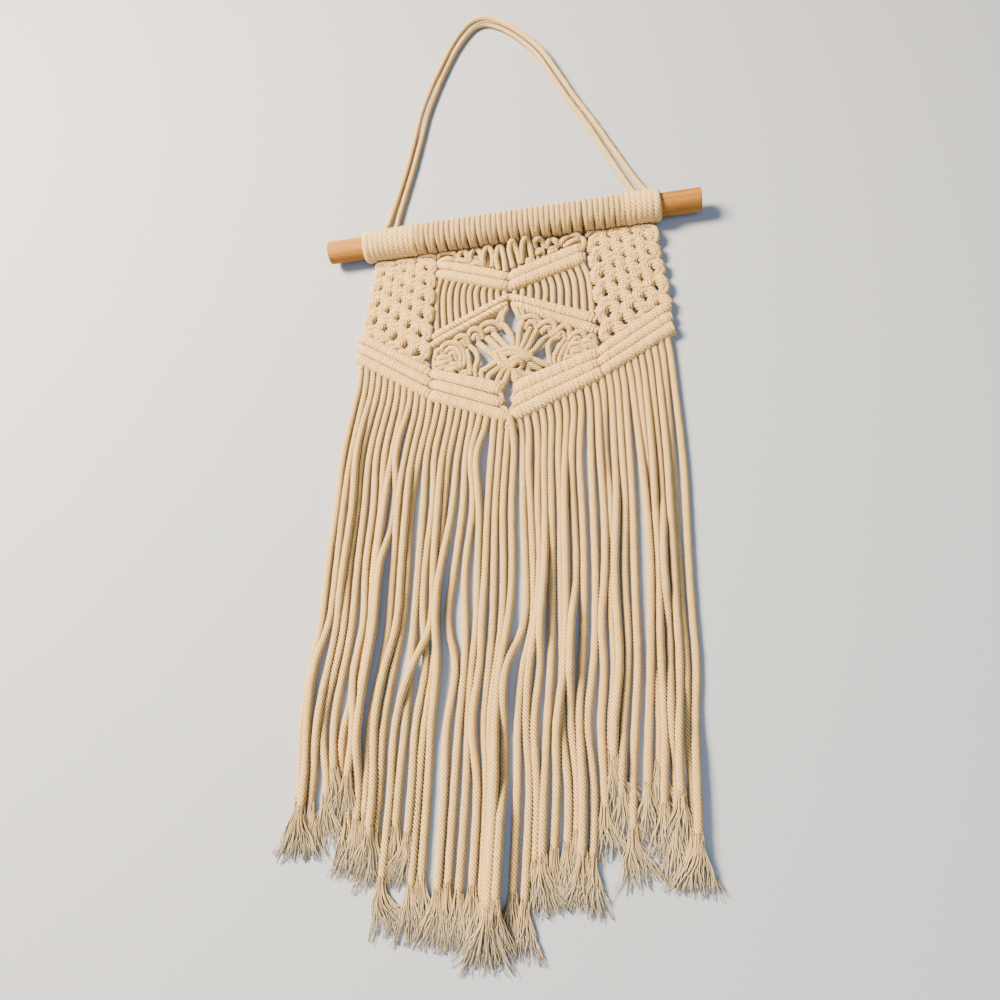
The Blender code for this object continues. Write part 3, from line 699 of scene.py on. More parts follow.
def addBar(shape, block, side, row, other, rng, look):
    count = look["hitches"]
    last = len(look["endSizes"])
    core, widths = [], []
    run = spot(block, side, row, 1.0) - spot(block, side, row, 0.0)
    kind = 1 if side > 0 and run[0] * run[1] > 0 else -1
    for hitch in range(count):
        share = (hitch + 0.5) / count
        place = spot(block, side, row, share)
        ahead, behind = [spot(block, side, row, share + step)
                         for step in (look["wayStep"], -look["wayStep"])]
        way = ahead - behind
        way = way * side / -np.linalg.norm(way)
        across = np.array((-way[1], way[0]))
        pitch = abs(np.dot(spot(block, side, other, share) - place, across))
        width = pitch / 2 - look["radial"] + look["overlap"][kind]
        fromEnd = min(hitch, count - 1 - hitch)
        if hitch < count / 2 and row == max(look["border"]):
            fromEnd = last  # the lowest bar runs on from the side panel into the half
        size = look["endSizes"][fromEnd] if fromEnd < last else 1.0
        addHitch(shape, place, way, width, size, kind, rng, look)
        core.append(lift(place, look["middle"] + look["coreRise"]))
        widths.append(width)
    core[0] = core[0] + (core[0] - core[1]) * look["coreOver"]
    core[-1] = core[-1] + (core[-1] - core[-2]) * look["coreOver"]
    addTube(shape, core, look["core"], knotPly, cordLook["lay"], normal=(0, 0, 1),
            flat=(1.0, sum(widths) / count / look["core"]))


def addSlitTurns(shape, rng, look):
    # at the slit a cord turns down from each bar's end to the next
    for side in (-1, 1):
        for first, last in look["slitTurns"]:
            route = []
            for t, out, z in look["slitCurve"]:
                x, y = spot("half", side, between(first, last, t), 1.0)
                route.append((x - side * out, y, z))
            addCord(shape, route, rng, look["slitRadius"], knotPly)


def makeBars(look):
    for name, blocks, rows in (("arm_bars", ("half",), look["arms"]),
                               ("border_bars", ("half", "side"), look["border"])):
        shape = newShape()
        rng = random.Random(31)
        for side in (-1, 1):
            for block in blocks:
                for row, other in rows.items():
                    addBar(shape, block, side, row, other, rng, look)
        if "side" in blocks:
            addSlitTurns(shape, rng, look)
        finishPiece(name, shape, cotton, ["knotted_panel"])


makeBars(barLook)

# square knots of the side panels
knotLook = {
    "rows": {
        1: (-10.5, -17.5, -25.0, -32.0, -39.5, -47.0, -54.5, -62.5, -71.5, -80.5, -89.5, -99.0,
            -107.5, -115.0),
        -1: (-10.5, -17.5, -24.5, -31.5, -38.5, -46.0, -53.5, -61.5, -70.0, -78.5, -87.0, -95.5,
             -104.0, -111.5, -118.5),
    },
    "evenShares": (1 / 3, 2 / 3), "oddShares": (1 / 6, 1 / 2, 5 / 6), "lastDrop": 8.0,
    "halfWidth": 4.8, "barGap": 2.1, "low": 4.4, "high": 6.0, "radius": 2.8,
    "arch": ((-1, 0.0), (-0.55, 0.75), (0, 1.0), (0.55, 0.75), (1, 0.0)),  # across, rise
    "tilt": 0.8, "bend": (-0.3, 0.3), "lip": (-0.3, 0.4),
    "back": 2.8, "backGap": 0.95, "backScale": 0.92, "loopScale": 0.9,
    "loop": (  # share of the half width, further out, share of the gap, rise
        (0.6, 0.0, 1.7, 0.0), (1.0, -0.1, 0.9, 0.8), (1.0, 0.1, 0.0, 1.1),
        (1.0, -0.1, -0.9, 0.8), (0.6, 0.0, -1.7, 0.0)),
    # what differs from knot to knot, in the order of the draws
    "topSquat": 0.4, "squat": (0.85, 1.15), "slideX": 0.4, "slideY": 0.5, "scale": (0.95, 1.06),
    "lean": 0.5,
    "borderClear": {-1: -4.0, 1: -2.0},  # how far the lowest knots go under the border's top bar
    "legs": {-1: (4.35, 4.2), 1: (4.1, 4.1)},  # radius in the close upper rows, and below
    "closeRows": 5,
    "legHeights": {-1: (4.5, 4.8, 4.5), 1: (4.4, 5.4, 4.4)}, "lastHeights": (4.4, 4.2, 3.0),
    "legApart": 2.1, "legOut": 1.8, "legDown": 2.0, "legTurn": 0.4,
    # cords down an edge: share of the panel's width, which way is out, how far they bulge
    "edges": {-1: ((0.05, -1, 0.4), (0.96, 1, 1.6)), 1: ((0.05, 1, 1.6), (0.96, -1, 1.6))},
    "edgeCurve": ((0.3, 0.3, 5.0), (0.5, 0.6, 5.2), (0.7, 0.3, 5.0)),  # way down, bulge, z
    "edgeApart": 3.4, "edgeDown": 2.5, "edgeLow": 4.0, "edgeSpare": 3.0,
}


def addKnot(shape, x, y, scale, rng, look, lean=0.0, squat=1.0):
    # two arched bars over the core, a loop at each side and two bars at the back
    wide = look["halfWidth"] * scale
    gap = look["barGap"] * scale
    low = look["low"]
    high = low + (look["high"] - low) * squat
    radius = look["radius"] * scale
    for level in (1, -1):
        bend = rng.uniform(*look["bend"])
        lip = rng.uniform(*look["lip"])
        route = []
        for t, rise in look["arch"]:
            tilt = lean * t - look["tilt"] * level * t + bend * (1 - t * t)
            route.append((x + wide * t, y + level * gap + tilt, between(low, high + lip, rise)))
        addCord(shape, route, rng, radius, knotPly)
        route = [(x + wide * t, y + level * gap * look["backGap"], look["back"])
                 for t in (-1, 0, 1)]
        addCord(shape, route, rng, radius * look["backScale"], knotPly, cordLook["fewRings"])
    for hand in (-1, 1):
        route = [(x + hand * (wide * share + out), y + gap * up, low + rise * squat)
                 for share, out, up, rise in look["loop"]]
        addCord(shape, route, rng, radius * look["loopScale"], knotPly, cordLook["fewRings"])


def addLegs(shape, x, y, reach, drop, heights, radius, rng, look):
    # the cords that go on from a knot to the two knots below it, or under the border's top bar
    first, middle, last = heights
    out, down = look["legOut"], look["legDown"]
    for hand in (-1, 1):
        for shift in (-look["legApart"], look["legApart"]):
            turned = shift * look["legTurn"]
            route = ((x + hand * out, y - down + turned, first),
                     (x + hand * reach / 2, y - drop / 2 + shift, middle),
                     (x + hand * (reach - out), y - drop + down + turned, last))
            addCord(shape, route, rng, radius, knotPly, cordLook["fewRings"])


def sideX(side, y, share):
    # x on a side panel at this height and share of its width
    top, foot = panelShape["outer"][side]
    way = (y - top[1]) / (foot[1] - top[1])
    outer = between(top[0], foot[0], way)
    outer += side * panelShape["bow"][side] * math.sin(math.pi * min(way, 1))
    top, foot = panelShape["slit"][side]
    inner = between(top[0], foot[0], (y - top[1]) / (foot[1] - top[1]))
    return between(outer, inner, share)


def borderTop(side, x):
    outer, inner = [sideSpot(side, panelShape["borderRow"], share) for share in (0.0, 1.0)]
    return between(outer[1], inner[1], (x - outer[0]) / (inner[0] - outer[0]))


def addEdgeCords(shape, side, rows, share, out, reach, rng, look):
    # pairs of cords that run down an edge from one odd row to the next
    for number in range(1, len(rows) - 2, 2):
        high, low = rows[number], rows[number + 2]
        x = sideX(side, (high + low) / 2, share)
        if low < borderTop(side, x) - look["edgeSpare"]:
            continue
        for inner in (0.0, look["edgeApart"]):
            edge = x - out * inner
            tucked = edge - out * look["edgeApart"]
            route = [(tucked, high - look["edgeDown"], look["edgeLow"])]
            for t, bulge, z in look["edgeCurve"]:
                route.append((edge + out * reach * bulge, between(high, low, t), z))
            route.append((tucked, low + look["edgeDown"], look["edgeLow"]))
            addCord(shape, route, rng, look["radius"], knotPly)


def addKnotRow(shape, side, rows, number, rng, look):
    y = rows[number]
    shares = look["evenShares"] if number % 2 == 0 else look["oddShares"]
    drop = y - rows[number + 1] if number + 1 < len(rows) else look["lastDrop"]
    slideX, slideY, lean = look["slideX"], look["slideY"], look["lean"]
    for share in shares:
        x = sideX(side, y, share)
        rim = borderTop(side, x) + look["borderClear"][side]
        if y <= rim:
            continue
        squat = look["topSquat"] if number == 0 else rng.uniform(*look["squat"])
        addKnot(shape, x + rng.uniform(-slideX, slideX), y + rng.uniform(-slideY, slideY),
                rng.uniform(*look["scale"]), rng, look, rng.uniform(-lean, lean), squat)
        reach = abs(sideX(side, y, look["oddShares"][0]) - sideX(side, y, look["evenShares"][0]))
        if y - drop < rim:
            heights, radius = look["lastHeights"], look["radius"]
        else:
            heights = look["legHeights"][side]
            radius = look["legs"][side][number > look["closeRows"]]
        addLegs(shape, x, y, reach, drop, heights, radius, rng, look)


def makeSideKnots(look):
    for name, side in (("left", -1), ("right", 1)):
        shape = newShape()
        rng = random.Random(41 + side)
        rows = look["rows"][side]
        for number in range(len(rows)):
            addKnotRow(shape, side, rows, number, rng, look)
        for share, out, reach in look["edges"][side]:
            addEdgeCords(shape, side, rows, share, out, reach, rng, look)
        finishPiece("side_knots_" + name, shape, cotton, [])


makeSideKnots(knotLook)

# plain cords of the two triangles
triangleLook = {
    "cords": 11, "firstShare": 0.45, "rows": (5.3, 8.7), "shortest": 8.0,
    "radius": 2.6, "height": 2.7, "stops": (0.0, 0.12, 0.3, 0.55, 0.8, 1.0), "wander": 0.2,
    "bow": 2.6, "fullBow": 28.0, "bowPower": 0.7,  # cords shorter than fullBow bow less
    "topRise": 2.4, "tuck": 2.2, "topEnd": 1 / 6,  # over the upper bar, down to this stop
    "footRise": 0.6, "footStart": 0.8,
}


def makeTriangles(look):
    shape = newShape()
    rng = random.Random(51)
    for side in (-1, 1):
        for cord in range(look["cords"]):
            share = (cord + look["firstShare"]) / look["cords"]
            top, foot = [spot("half", side, row, share) for row in look["rows"]]
            span = np.linalg.norm(top - foot)
            if span < look["shortest"]:
                continue
            bow = look["bow"] * min(1.0, span / look["fullBow"])
            route = []
            for t in look["stops"]:
                place = between(top, foot, t)
                over = max(0.0, 1 - t / look["topEnd"])
                under = max(0.0, (t - look["footStart"]) / (1 - look["footStart"]))
                out = side * (bow * math.sin(math.pi * t ** look["bowPower"])
                              - look["tuck"] * over)
                x = place[0] + out + rng.uniform(-look["wander"], look["wander"])
                rise = over + look["footRise"] * under
                route.append((x, place[1], look["height"] + look["topRise"] * rise))
            addCord(shape, route, rng, look["radius"])
    finishPiece("triangle_cords", shape, cotton, [])


makeTriangles(triangleLook)

topLook = {
    "radius": 2.6,
    "back": {
        "cords": 12, "radius": 2.4, "height": 2.4, "rows": (0.0, 3.4), "stops": 3,
        "lastShare": 1.0, "shortest": 6.0,
    },
    "loops": (  # cords that turn over just below the heading
        ((-77.3, -13.8, 5.0), (-74.5, -12.3, 7.3), (-69.0, -12.4, 7.6), (-63.8, -12.9, 7.0),
         (-63.0, -15.2, 5.0)),
        ((-60.3, -14.5, 5.0), (-58.0, -12.2, 7.1), (-51.4, -12.1, 6.9), (-46.1, -13.8, 7.0),
         (-45.6, -16.0, 5.0)),
        ((-43.5, -19.6, 5.0), (-42.1, -15.0, 7.0), (-38.5, -12.9, 7.0), (-36.0, -16.7, 7.0),
         (-36.0, -20.9, 5.0)),
        ((-33.9, -23.4, 5.0), (-32.9, -16.6, 7.0), (-29.0, -11.8, 6.4), (-25.0, -16.9, 7.0),
         (-24.7, -25.0, 5.0)),
        ((-59.4, -19.0, 5.0), (-54.8, -19.2, 7.5), (-48.6, -20.3, 7.5), (-45.3, -22.0, 5.0)),
        ((-47.5, -21.6, 5.0), (-42.6, -21.4, 7.0), (-37.4, -23.4, 7.0), (-34.3, -25.5, 5.0)),
        ((-33.6, -26.3, 4.5), (-28.8, -26.1, 6.5), (-24.5, -28.4, 6.5), (-22.3, -30.4, 4.5)),
        ((19.1, -18.6, 5.0), (19.2, -14.7, 8.0), (22.2, -13.4, 10.9), (25.2, -14.7, 8.0),
         (26.8, -18.8, 5.0)),
        ((28.9, -19.2, 5.0), (29.8, -16.2, 7.5), (32.0, -12.9, 7.0), (35.8, -16.6, 8.0),
         (37.4, -19.1, 5.0)),
        ((39.2, -18.3, 5.5), (41.7, -16.6, 8.0), (46.5, -13.3, 7.0), (50.8, -12.8, 8.6),
         (54.4, -15.1, 8.0), (54.6, -16.7, 5.5)),
        ((42.5, -20.0, 5.0), (46.9, -19.8, 7.5), (51.7, -18.0, 7.5), (54.9, -18.4, 5.5)),
        ((53.9, -14.9, 6.0), (57.5, -18.6, 7.0), (57.5, -24.4, 7.0), (55.0, -27.0, 5.0)),
        ((61.1, -13.6, 5.5), (62.6, -12.4, 7.6), (67.6, -12.0, 6.7), (71.7, -14.2, 7.0),
         (73.0, -16.8, 5.5)),
        ((78.5, -16.7, 5.5), (80.1, -13.0, 7.0), (85.2, -12.0, 6.7), (90.0, -13.8, 7.0),
         (91.5, -15.9, 5.5)),
        ((96.9, -15.8, 5.5), (99.2, -13.3, 7.0), (104.9, -13.8, 7.0), (110.5, -14.9, 7.0),
         (111.4, -18.5, 5.5)),
        ((111.6, -16.1, 7.0), (113.6, -20.1, 8.0), (113.9, -25.6, 7.0), (111.8, -29.7, 5.0)),
        ((-95.3, -15.6, 5.0), (-92.5, -14.5, 7.0), (-86.2, -14.5, 7.0), (-80.7, -16.5, 7.0),
         (-79.9, -18.8, 5.0)),
        ((-111.6, -15.5, 5.0), (-108.8, -13.8, 7.0), (-102.4, -14.4, 7.0), (-96.9, -16.4, 7.0),
         (-96.6, -18.1, 5.0)),
    ),
    "lumps": (  # x, y, scale of the knots between the loops and the arms
        (-52.0, -17.0, 0.6), (-38.5, -25.5, 0.6), (-29.0, -21.0, 0.55), (-20.5, -34.5, 0.6),
        (22.5, -22.0, 0.6), (33.0, -22.5, 0.6), (48.0, -16.5, 0.6), (14.5, -30.5, 0.6)),
}


def makeTopLoops(look):
    shape = newShape()
    rng = random.Random(35)
    for route in look["loops"]:
        addCord(shape, route, rng, look["radius"], knotPly)
    for x, y, scale in look["lumps"]:
        addKnot(shape, x, y, scale, rng, knotLook)
    addBackCords(shape, rng, look["back"])
    finishPiece("top_loops", shape, cotton, [])


makeTopLoops(topLook)

# arches under the heading, petals, centre knot and corners
flowerLook = {
    "groups": {"arches": 2.5, "edges": 2.5, "petals": 2.75, "scallops": 2.7, "centre": 2.875},
    # cords that end below this y go on under the border's top bar
    "lower": -120.0, "tuck": 2.5, "tuckHeight": 2.6,
    # how far the petals and centre move, from where, and where that starts and stops to fade
    "shift": (1.3, -3.2), "shiftFrom": (-3.0, -115.0), "shiftReach": (12.0, 26.0),
    "arches": (  # loops against the heading's lower front
        ((-23.1, -28.5, 4.5), (-22.9, -19.5, 7.0), (-18.5, -13.1, 8.9), (-15.1, -20.8, 7.0),
         (-16.2, -29.5, 4.5)),
        ((-11.1, -33.8, 4.5), (-12.6, -23.4, 7.0), (-9.1, -12.6, 7.6), (-6.2, -24.6, 7.0),
         (-5.6, -36.3, 4.5)),
        ((0.4, -33.0, 4.5), (-1.1, -19.8, 8.5), (1.6, -13.9, 12.9), (4.5, -19.8, 8.0),
         (6.3, -30.5, 4.8)),
        ((7.4, -30.0, 4.5), (8.9, -18.8, 8.5), (12.3, -13.7, 13.3), (14.9, -16.5, 9.0),
         (16.2, -26.5, 4.5))),
    "petals": (
        ((-13.4, -87.4, 5.0), (-8.3, -89.8, 6.5), (-4.6, -96.0, 6.5),
         (-3.2, -102.5, 6.5), (-3.8, -110.2, 7.0)),
        ((-17.1, -94.5, 5.0), (-12.6, -100.4, 6.2), (-8.8, -105.2, 6.6), (-5.0, -110.1, 7.0)),
        ((-22.1, -97.5, 5.0), (-17.2, -103.6, 6.0), (-12.8, -108.5, 6.4), (-9.0, -112.9, 7.0)),
        ((-29.0, -101.4, 4.5), (-24.7, -106.4, 5.8), (-20.3, -110.8, 6.2), (-14.9, -115.3, 6.8)),
        ((4.6, -89.3, 5.0), (2.5, -95.6, 6.2), (1.1, -101.4, 6.5), (-0.4, -110.7, 7.0)),
        ((11.7, -93.8, 5.0), (8.5, -99.1, 6.2), (4.9, -104.9, 6.6), (0.7, -112.6, 7.0)),
        ((16.2, -96.9, 5.0), (12.7, -101.7, 6.0), (8.8, -107.7, 6.4), (3.5, -114.7, 7.0)),
        ((23.6, -103.4, 4.5), (19.2, -107.1, 5.8), (14.2, -111.7, 6.2), (7.2, -117.9, 6.8)),
        ((-16.3, -119.1, 6.6), (-20.3, -122.0, 5.8), (-24.0, -124.8, 4.8), (-27.0, -126.9, 3.8)),
        ((-13.0, -122.8, 6.8), (-16.7, -126.1, 5.8), (-19.8, -128.9, 4.8), (-22.1, -131.5, 3.8)),
        ((-10.0, -124.2, 7.0), (-12.1, -128.1, 6.0), (-13.6, -131.7, 5.0), (-14.6, -134.3, 3.8)),
        ((-6.2, -126.1, 7.0), (-7.8, -130.5, 6.0), (-9.1, -134.4, 5.0), (-10.2, -137.5, 3.8)),
        ((6.6, -118.9, 8.0), (12.4, -121.7, 7.0), (17.6, -125.6, 5.8), (22.9, -128.8, 4.2)),
        ((3.7, -118.1, 8.0), (7.2, -121.6, 7.2), (11.2, -126.2, 6.0), (16.7, -130.7, 4.0)),
        ((-0.5, -127.5, 7.0), (2.6, -131.0, 5.6), (6.5, -133.3, 5.0), (11.1, -133.8, 4.0)),
        ((-2.9, -127.0, 7.0), (-2.1, -130.8, 6.0), (-0.4, -134.0, 5.2), (3.1, -135.1, 4.0)),
        ((-3.8, -128.2, 6.4), (-3.4, -133.3, 5.4), (-1.7, -137.6, 5.0), (0.7, -137.3, 4.0)),
    ),
    "scallops": (
        ((4.1, -92.0, 4.0), (6.3, -85.8, 5.6), (11.7, -84.4, 7.0), (16.9, -86.0, 6.4),
         (19.4, -90.5, 4.4)),
        ((7.5, -93.1, 4.0), (10.8, -89.2, 5.6), (14.7, -89.8, 6.0), (16.7, -93.9, 4.0)),
        ((15.3, -94.3, 4.0), (21.0, -91.7, 5.8), (27.0, -91.2, 7.0), (30.5, -94.9, 6.2),
         (28.6, -99.3, 4.2)),
        ((19.4, -98.4, 4.0), (24.4, -96.0, 5.8), (27.1, -99.5, 4.0)),
        ((25.7, -102.8, 4.2), (31.8, -100.0, 5.8), (36.9, -97.0, 7.0), (41.0, -99.7, 6.4),
         (40.4, -105.6, 4.2)),
        ((29.9, -105.0, 4.0), (35.0, -101.9, 5.8), (37.4, -106.7, 4.0)),
        ((39.3, -108.3, 4.2), (43.5, -105.0, 6.0), (48.4, -104.1, 7.0), (51.9, -107.0, 6.2),
         (51.9, -111.1, 4.0)),
        ((41.9, -110.8, 4.0), (46.3, -108.3, 6.0), (49.0, -111.8, 4.0)),
        ((52.3, -112.3, 4.0), (55.0, -109.1, 6.2), (58.3, -109.5, 6.0), (59.2, -114.5, 4.0)),
        ((-27.6, -90.2, 4.0), (-24.7, -86.3, 5.8), (-19.0, -85.6, 7.0), (-14.1, -86.8, 6.4),
         (-10.6, -90.1, 4.4)),
        ((-24.2, -91.9, 4.0), (-18.8, -90.4, 5.8), (-15.2, -93.2, 4.0)),
        ((-36.5, -94.7, 4.0), (-34.5, -90.2, 6.0), (-29.8, -89.8, 7.0), (-26.3, -92.3, 6.0),
         (-25.5, -96.9, 4.0)),
        ((-33.5, -96.9, 4.0), (-30.1, -94.5, 5.8), (-28.0, -98.2, 4.0)),
        ((-47.5, -98.9, 4.0), (-45.1, -95.1, 6.0), (-40.3, -94.7, 7.0), (-37.1, -97.4, 6.0),
         (-36.1, -102.3, 4.0)),
        ((-44.1, -101.2, 4.0), (-40.6, -98.8, 5.8), (-39.1, -103.0, 4.0)),
        ((-58.1, -104.4, 4.0), (-55.6, -100.8, 6.0), (-50.4, -99.6, 7.0), (-44.0, -101.9, 6.4),
         (-40.5, -106.6, 4.4)),
        ((-55.6, -107.0, 4.0), (-50.5, -104.1, 6.4), (-45.0, -106.8, 6.6), (-42.3, -112.6, 6.0),
         (-44.2, -118.0, 4.2)),
        ((-52.6, -113.2, 4.0), (-50.2, -109.1, 6.0), (-46.6, -109.8, 6.2), (-46.2, -114.1, 4.0)),
        ((-62.6, -109.5, 4.0), (-60.6, -105.3, 6.0), (-57.6, -104.6, 6.0), (-56.6, -109.2, 4.0)),
    ),
    "edges": (
        ((-5.8, -72.9, 6.0), (-7.4, -76.3, 6.0), (-9.2, -81.1, 6.4),
         (-9.4, -84.9, 6.0), (-10.7, -87.8, 5.0)),
        ((-9.9, -71.5, 5.0), (-10.2, -76.7, 5.6), (-11.8, -81.6, 6.0), (-13.3, -85.3, 5.0)),
        ((0.2, -73.3, 6.0), (2.0, -78.0, 6.4), (3.6, -83.2, 6.6),
         (6.1, -86.7, 6.0), (5.2, -90.8, 4.6)),
        ((4.5, -75.0, 5.0), (5.8, -80.0, 5.8), (6.7, -83.8, 6.0), (4.9, -86.8, 4.8)),
        ((-35.5, -103.4, 4.6), (-30.9, -109.5, 5.8), (-29.3, -116.4, 5.6), (-32.0, -123.5, 4.0)),
        ((-38.5, -106.3, 4.4), (-36.7, -113.0, 5.4), (-36.3, -118.0, 5.2), (-35.4, -123.6, 4.0)),
        ((-42.1, -106.2, 5.0), (-39.6, -112.8, 5.8), (-40.0, -118.1, 5.2), (-42.3, -122.1, 4.0)),
        ((33.7, -105.4, 4.6), (27.2, -107.6, 5.8), (24.3, -113.3, 5.6), (24.8, -121.9, 4.0)),
        ((36.5, -108.3, 4.8), (33.4, -112.9, 5.6), (30.2, -117.8, 5.2), (27.9, -122.3, 4.0)),
        ((39.1, -110.9, 4.8), (36.1, -115.7, 5.8), (33.8, -120.0, 5.2), (32.1, -123.5, 4.0)),
        ((39.9, -113.2, 4.6), (38.3, -118.1, 5.6), (37.1, -120.9, 5.0), (36.3, -124.6, 4.0)),
    ),
    "centre": (
        ((-17.3, -109.7, 6.0), (-16.0, -115.8, 7.6), (-12.0, -122.4, 8.0),
         (-6.6, -125.7, 7.2), (-5.0, -128.4, 5.6)),
        ((-12.5, -111.2, 7.2), (-10.6, -117.3, 8.6), (-7.3, -122.3, 8.8), (-4.3, -125.3, 7.4)),
        ((-16.6, -111.1, 6.0), (-10.4, -109.5, 8.0), (-3.1, -110.5, 8.8),
         (3.9, -113.6, 8.6), (9.9, -117.4, 6.6)),
        ((-12.2, -113.6, 7.4), (-5.1, -114.0, 9.2), (2.4, -116.0, 9.2), (9.5, -118.9, 7.4)),
        ((-6.8, -121.0, 7.4), (-3.3, -119.2, 9.6), (2.4, -119.2, 10.2),
         (7.0, -120.6, 9.0), (10.2, -119.8, 7.0)),
        ((-6.2, -124.6, 6.8), (-2.8, -123.0, 9.2), (0.8, -121.8, 9.6),
         (3.2, -123.2, 8.6), (1.6, -125.3, 6.0)),
    ),
    "smallKnots": (  # x, y, scale
        (44.5, -115.8, 0.95), (54.0, -114.6, 0.95), (-55.0, -113.5, 1.0), (-47.5, -120.5, 0.95),
        (-58.5, -119.0, 0.9), (45.5, -121.5, 0.85), (55.5, -119.5, 0.85), (-6.0, -176.0, 0.7),
        (-52.0, -125.0, 0.75), (-39.0, -127.5, 0.7), (39.0, -126.0, 0.7)),
}


def shifted(point, look):
    # the whole shift near the flower's centre, fading further out
    near, far = look["shiftReach"]
    away = math.dist(point[:2], look["shiftFrom"])
    share = min(max((far - away) / (far - near), 0.0), 1.0)
    return (point[0] + look["shift"][0] * share, point[1] + look["shift"][1] * share, point[2])


def underBorder(route, look):
    # carries a cord on under the border's top bar if it ends low, and above that bar
    x, y = route[-1][:2]
    side = -1 if x < centreX(y) else 1
    row = panelShape["borderRow"]
    outer = halfSpot(side, row, 0.0)[0]
    rim = halfSpot(side, row, (x - outer) / (centreX(y) - outer))[1] - look["tuck"]
    if rim < y < look["lower"]:
        return (*route, (x, rim, look["tuckHeight"]))
    return route


def makeFlower(look):
    shape = newShape()
    rng = random.Random(61)
    for group, radius in look["groups"].items():
        for route in look[group]:
            if group in ("petals", "centre"):
                route = [shifted(point, look) for point in route]
            if group in ("petals", "edges"):
                route = underBorder(route, look)
            addCord(shape, route, rng, radius, knotPly)
    for x, y, scale in look["smallKnots"]:
        addKnot(shape, x, y, scale, rng, knotLook)
    finishPiece("flower_cords", shape, cotton, [])


makeFlower(flowerLook)

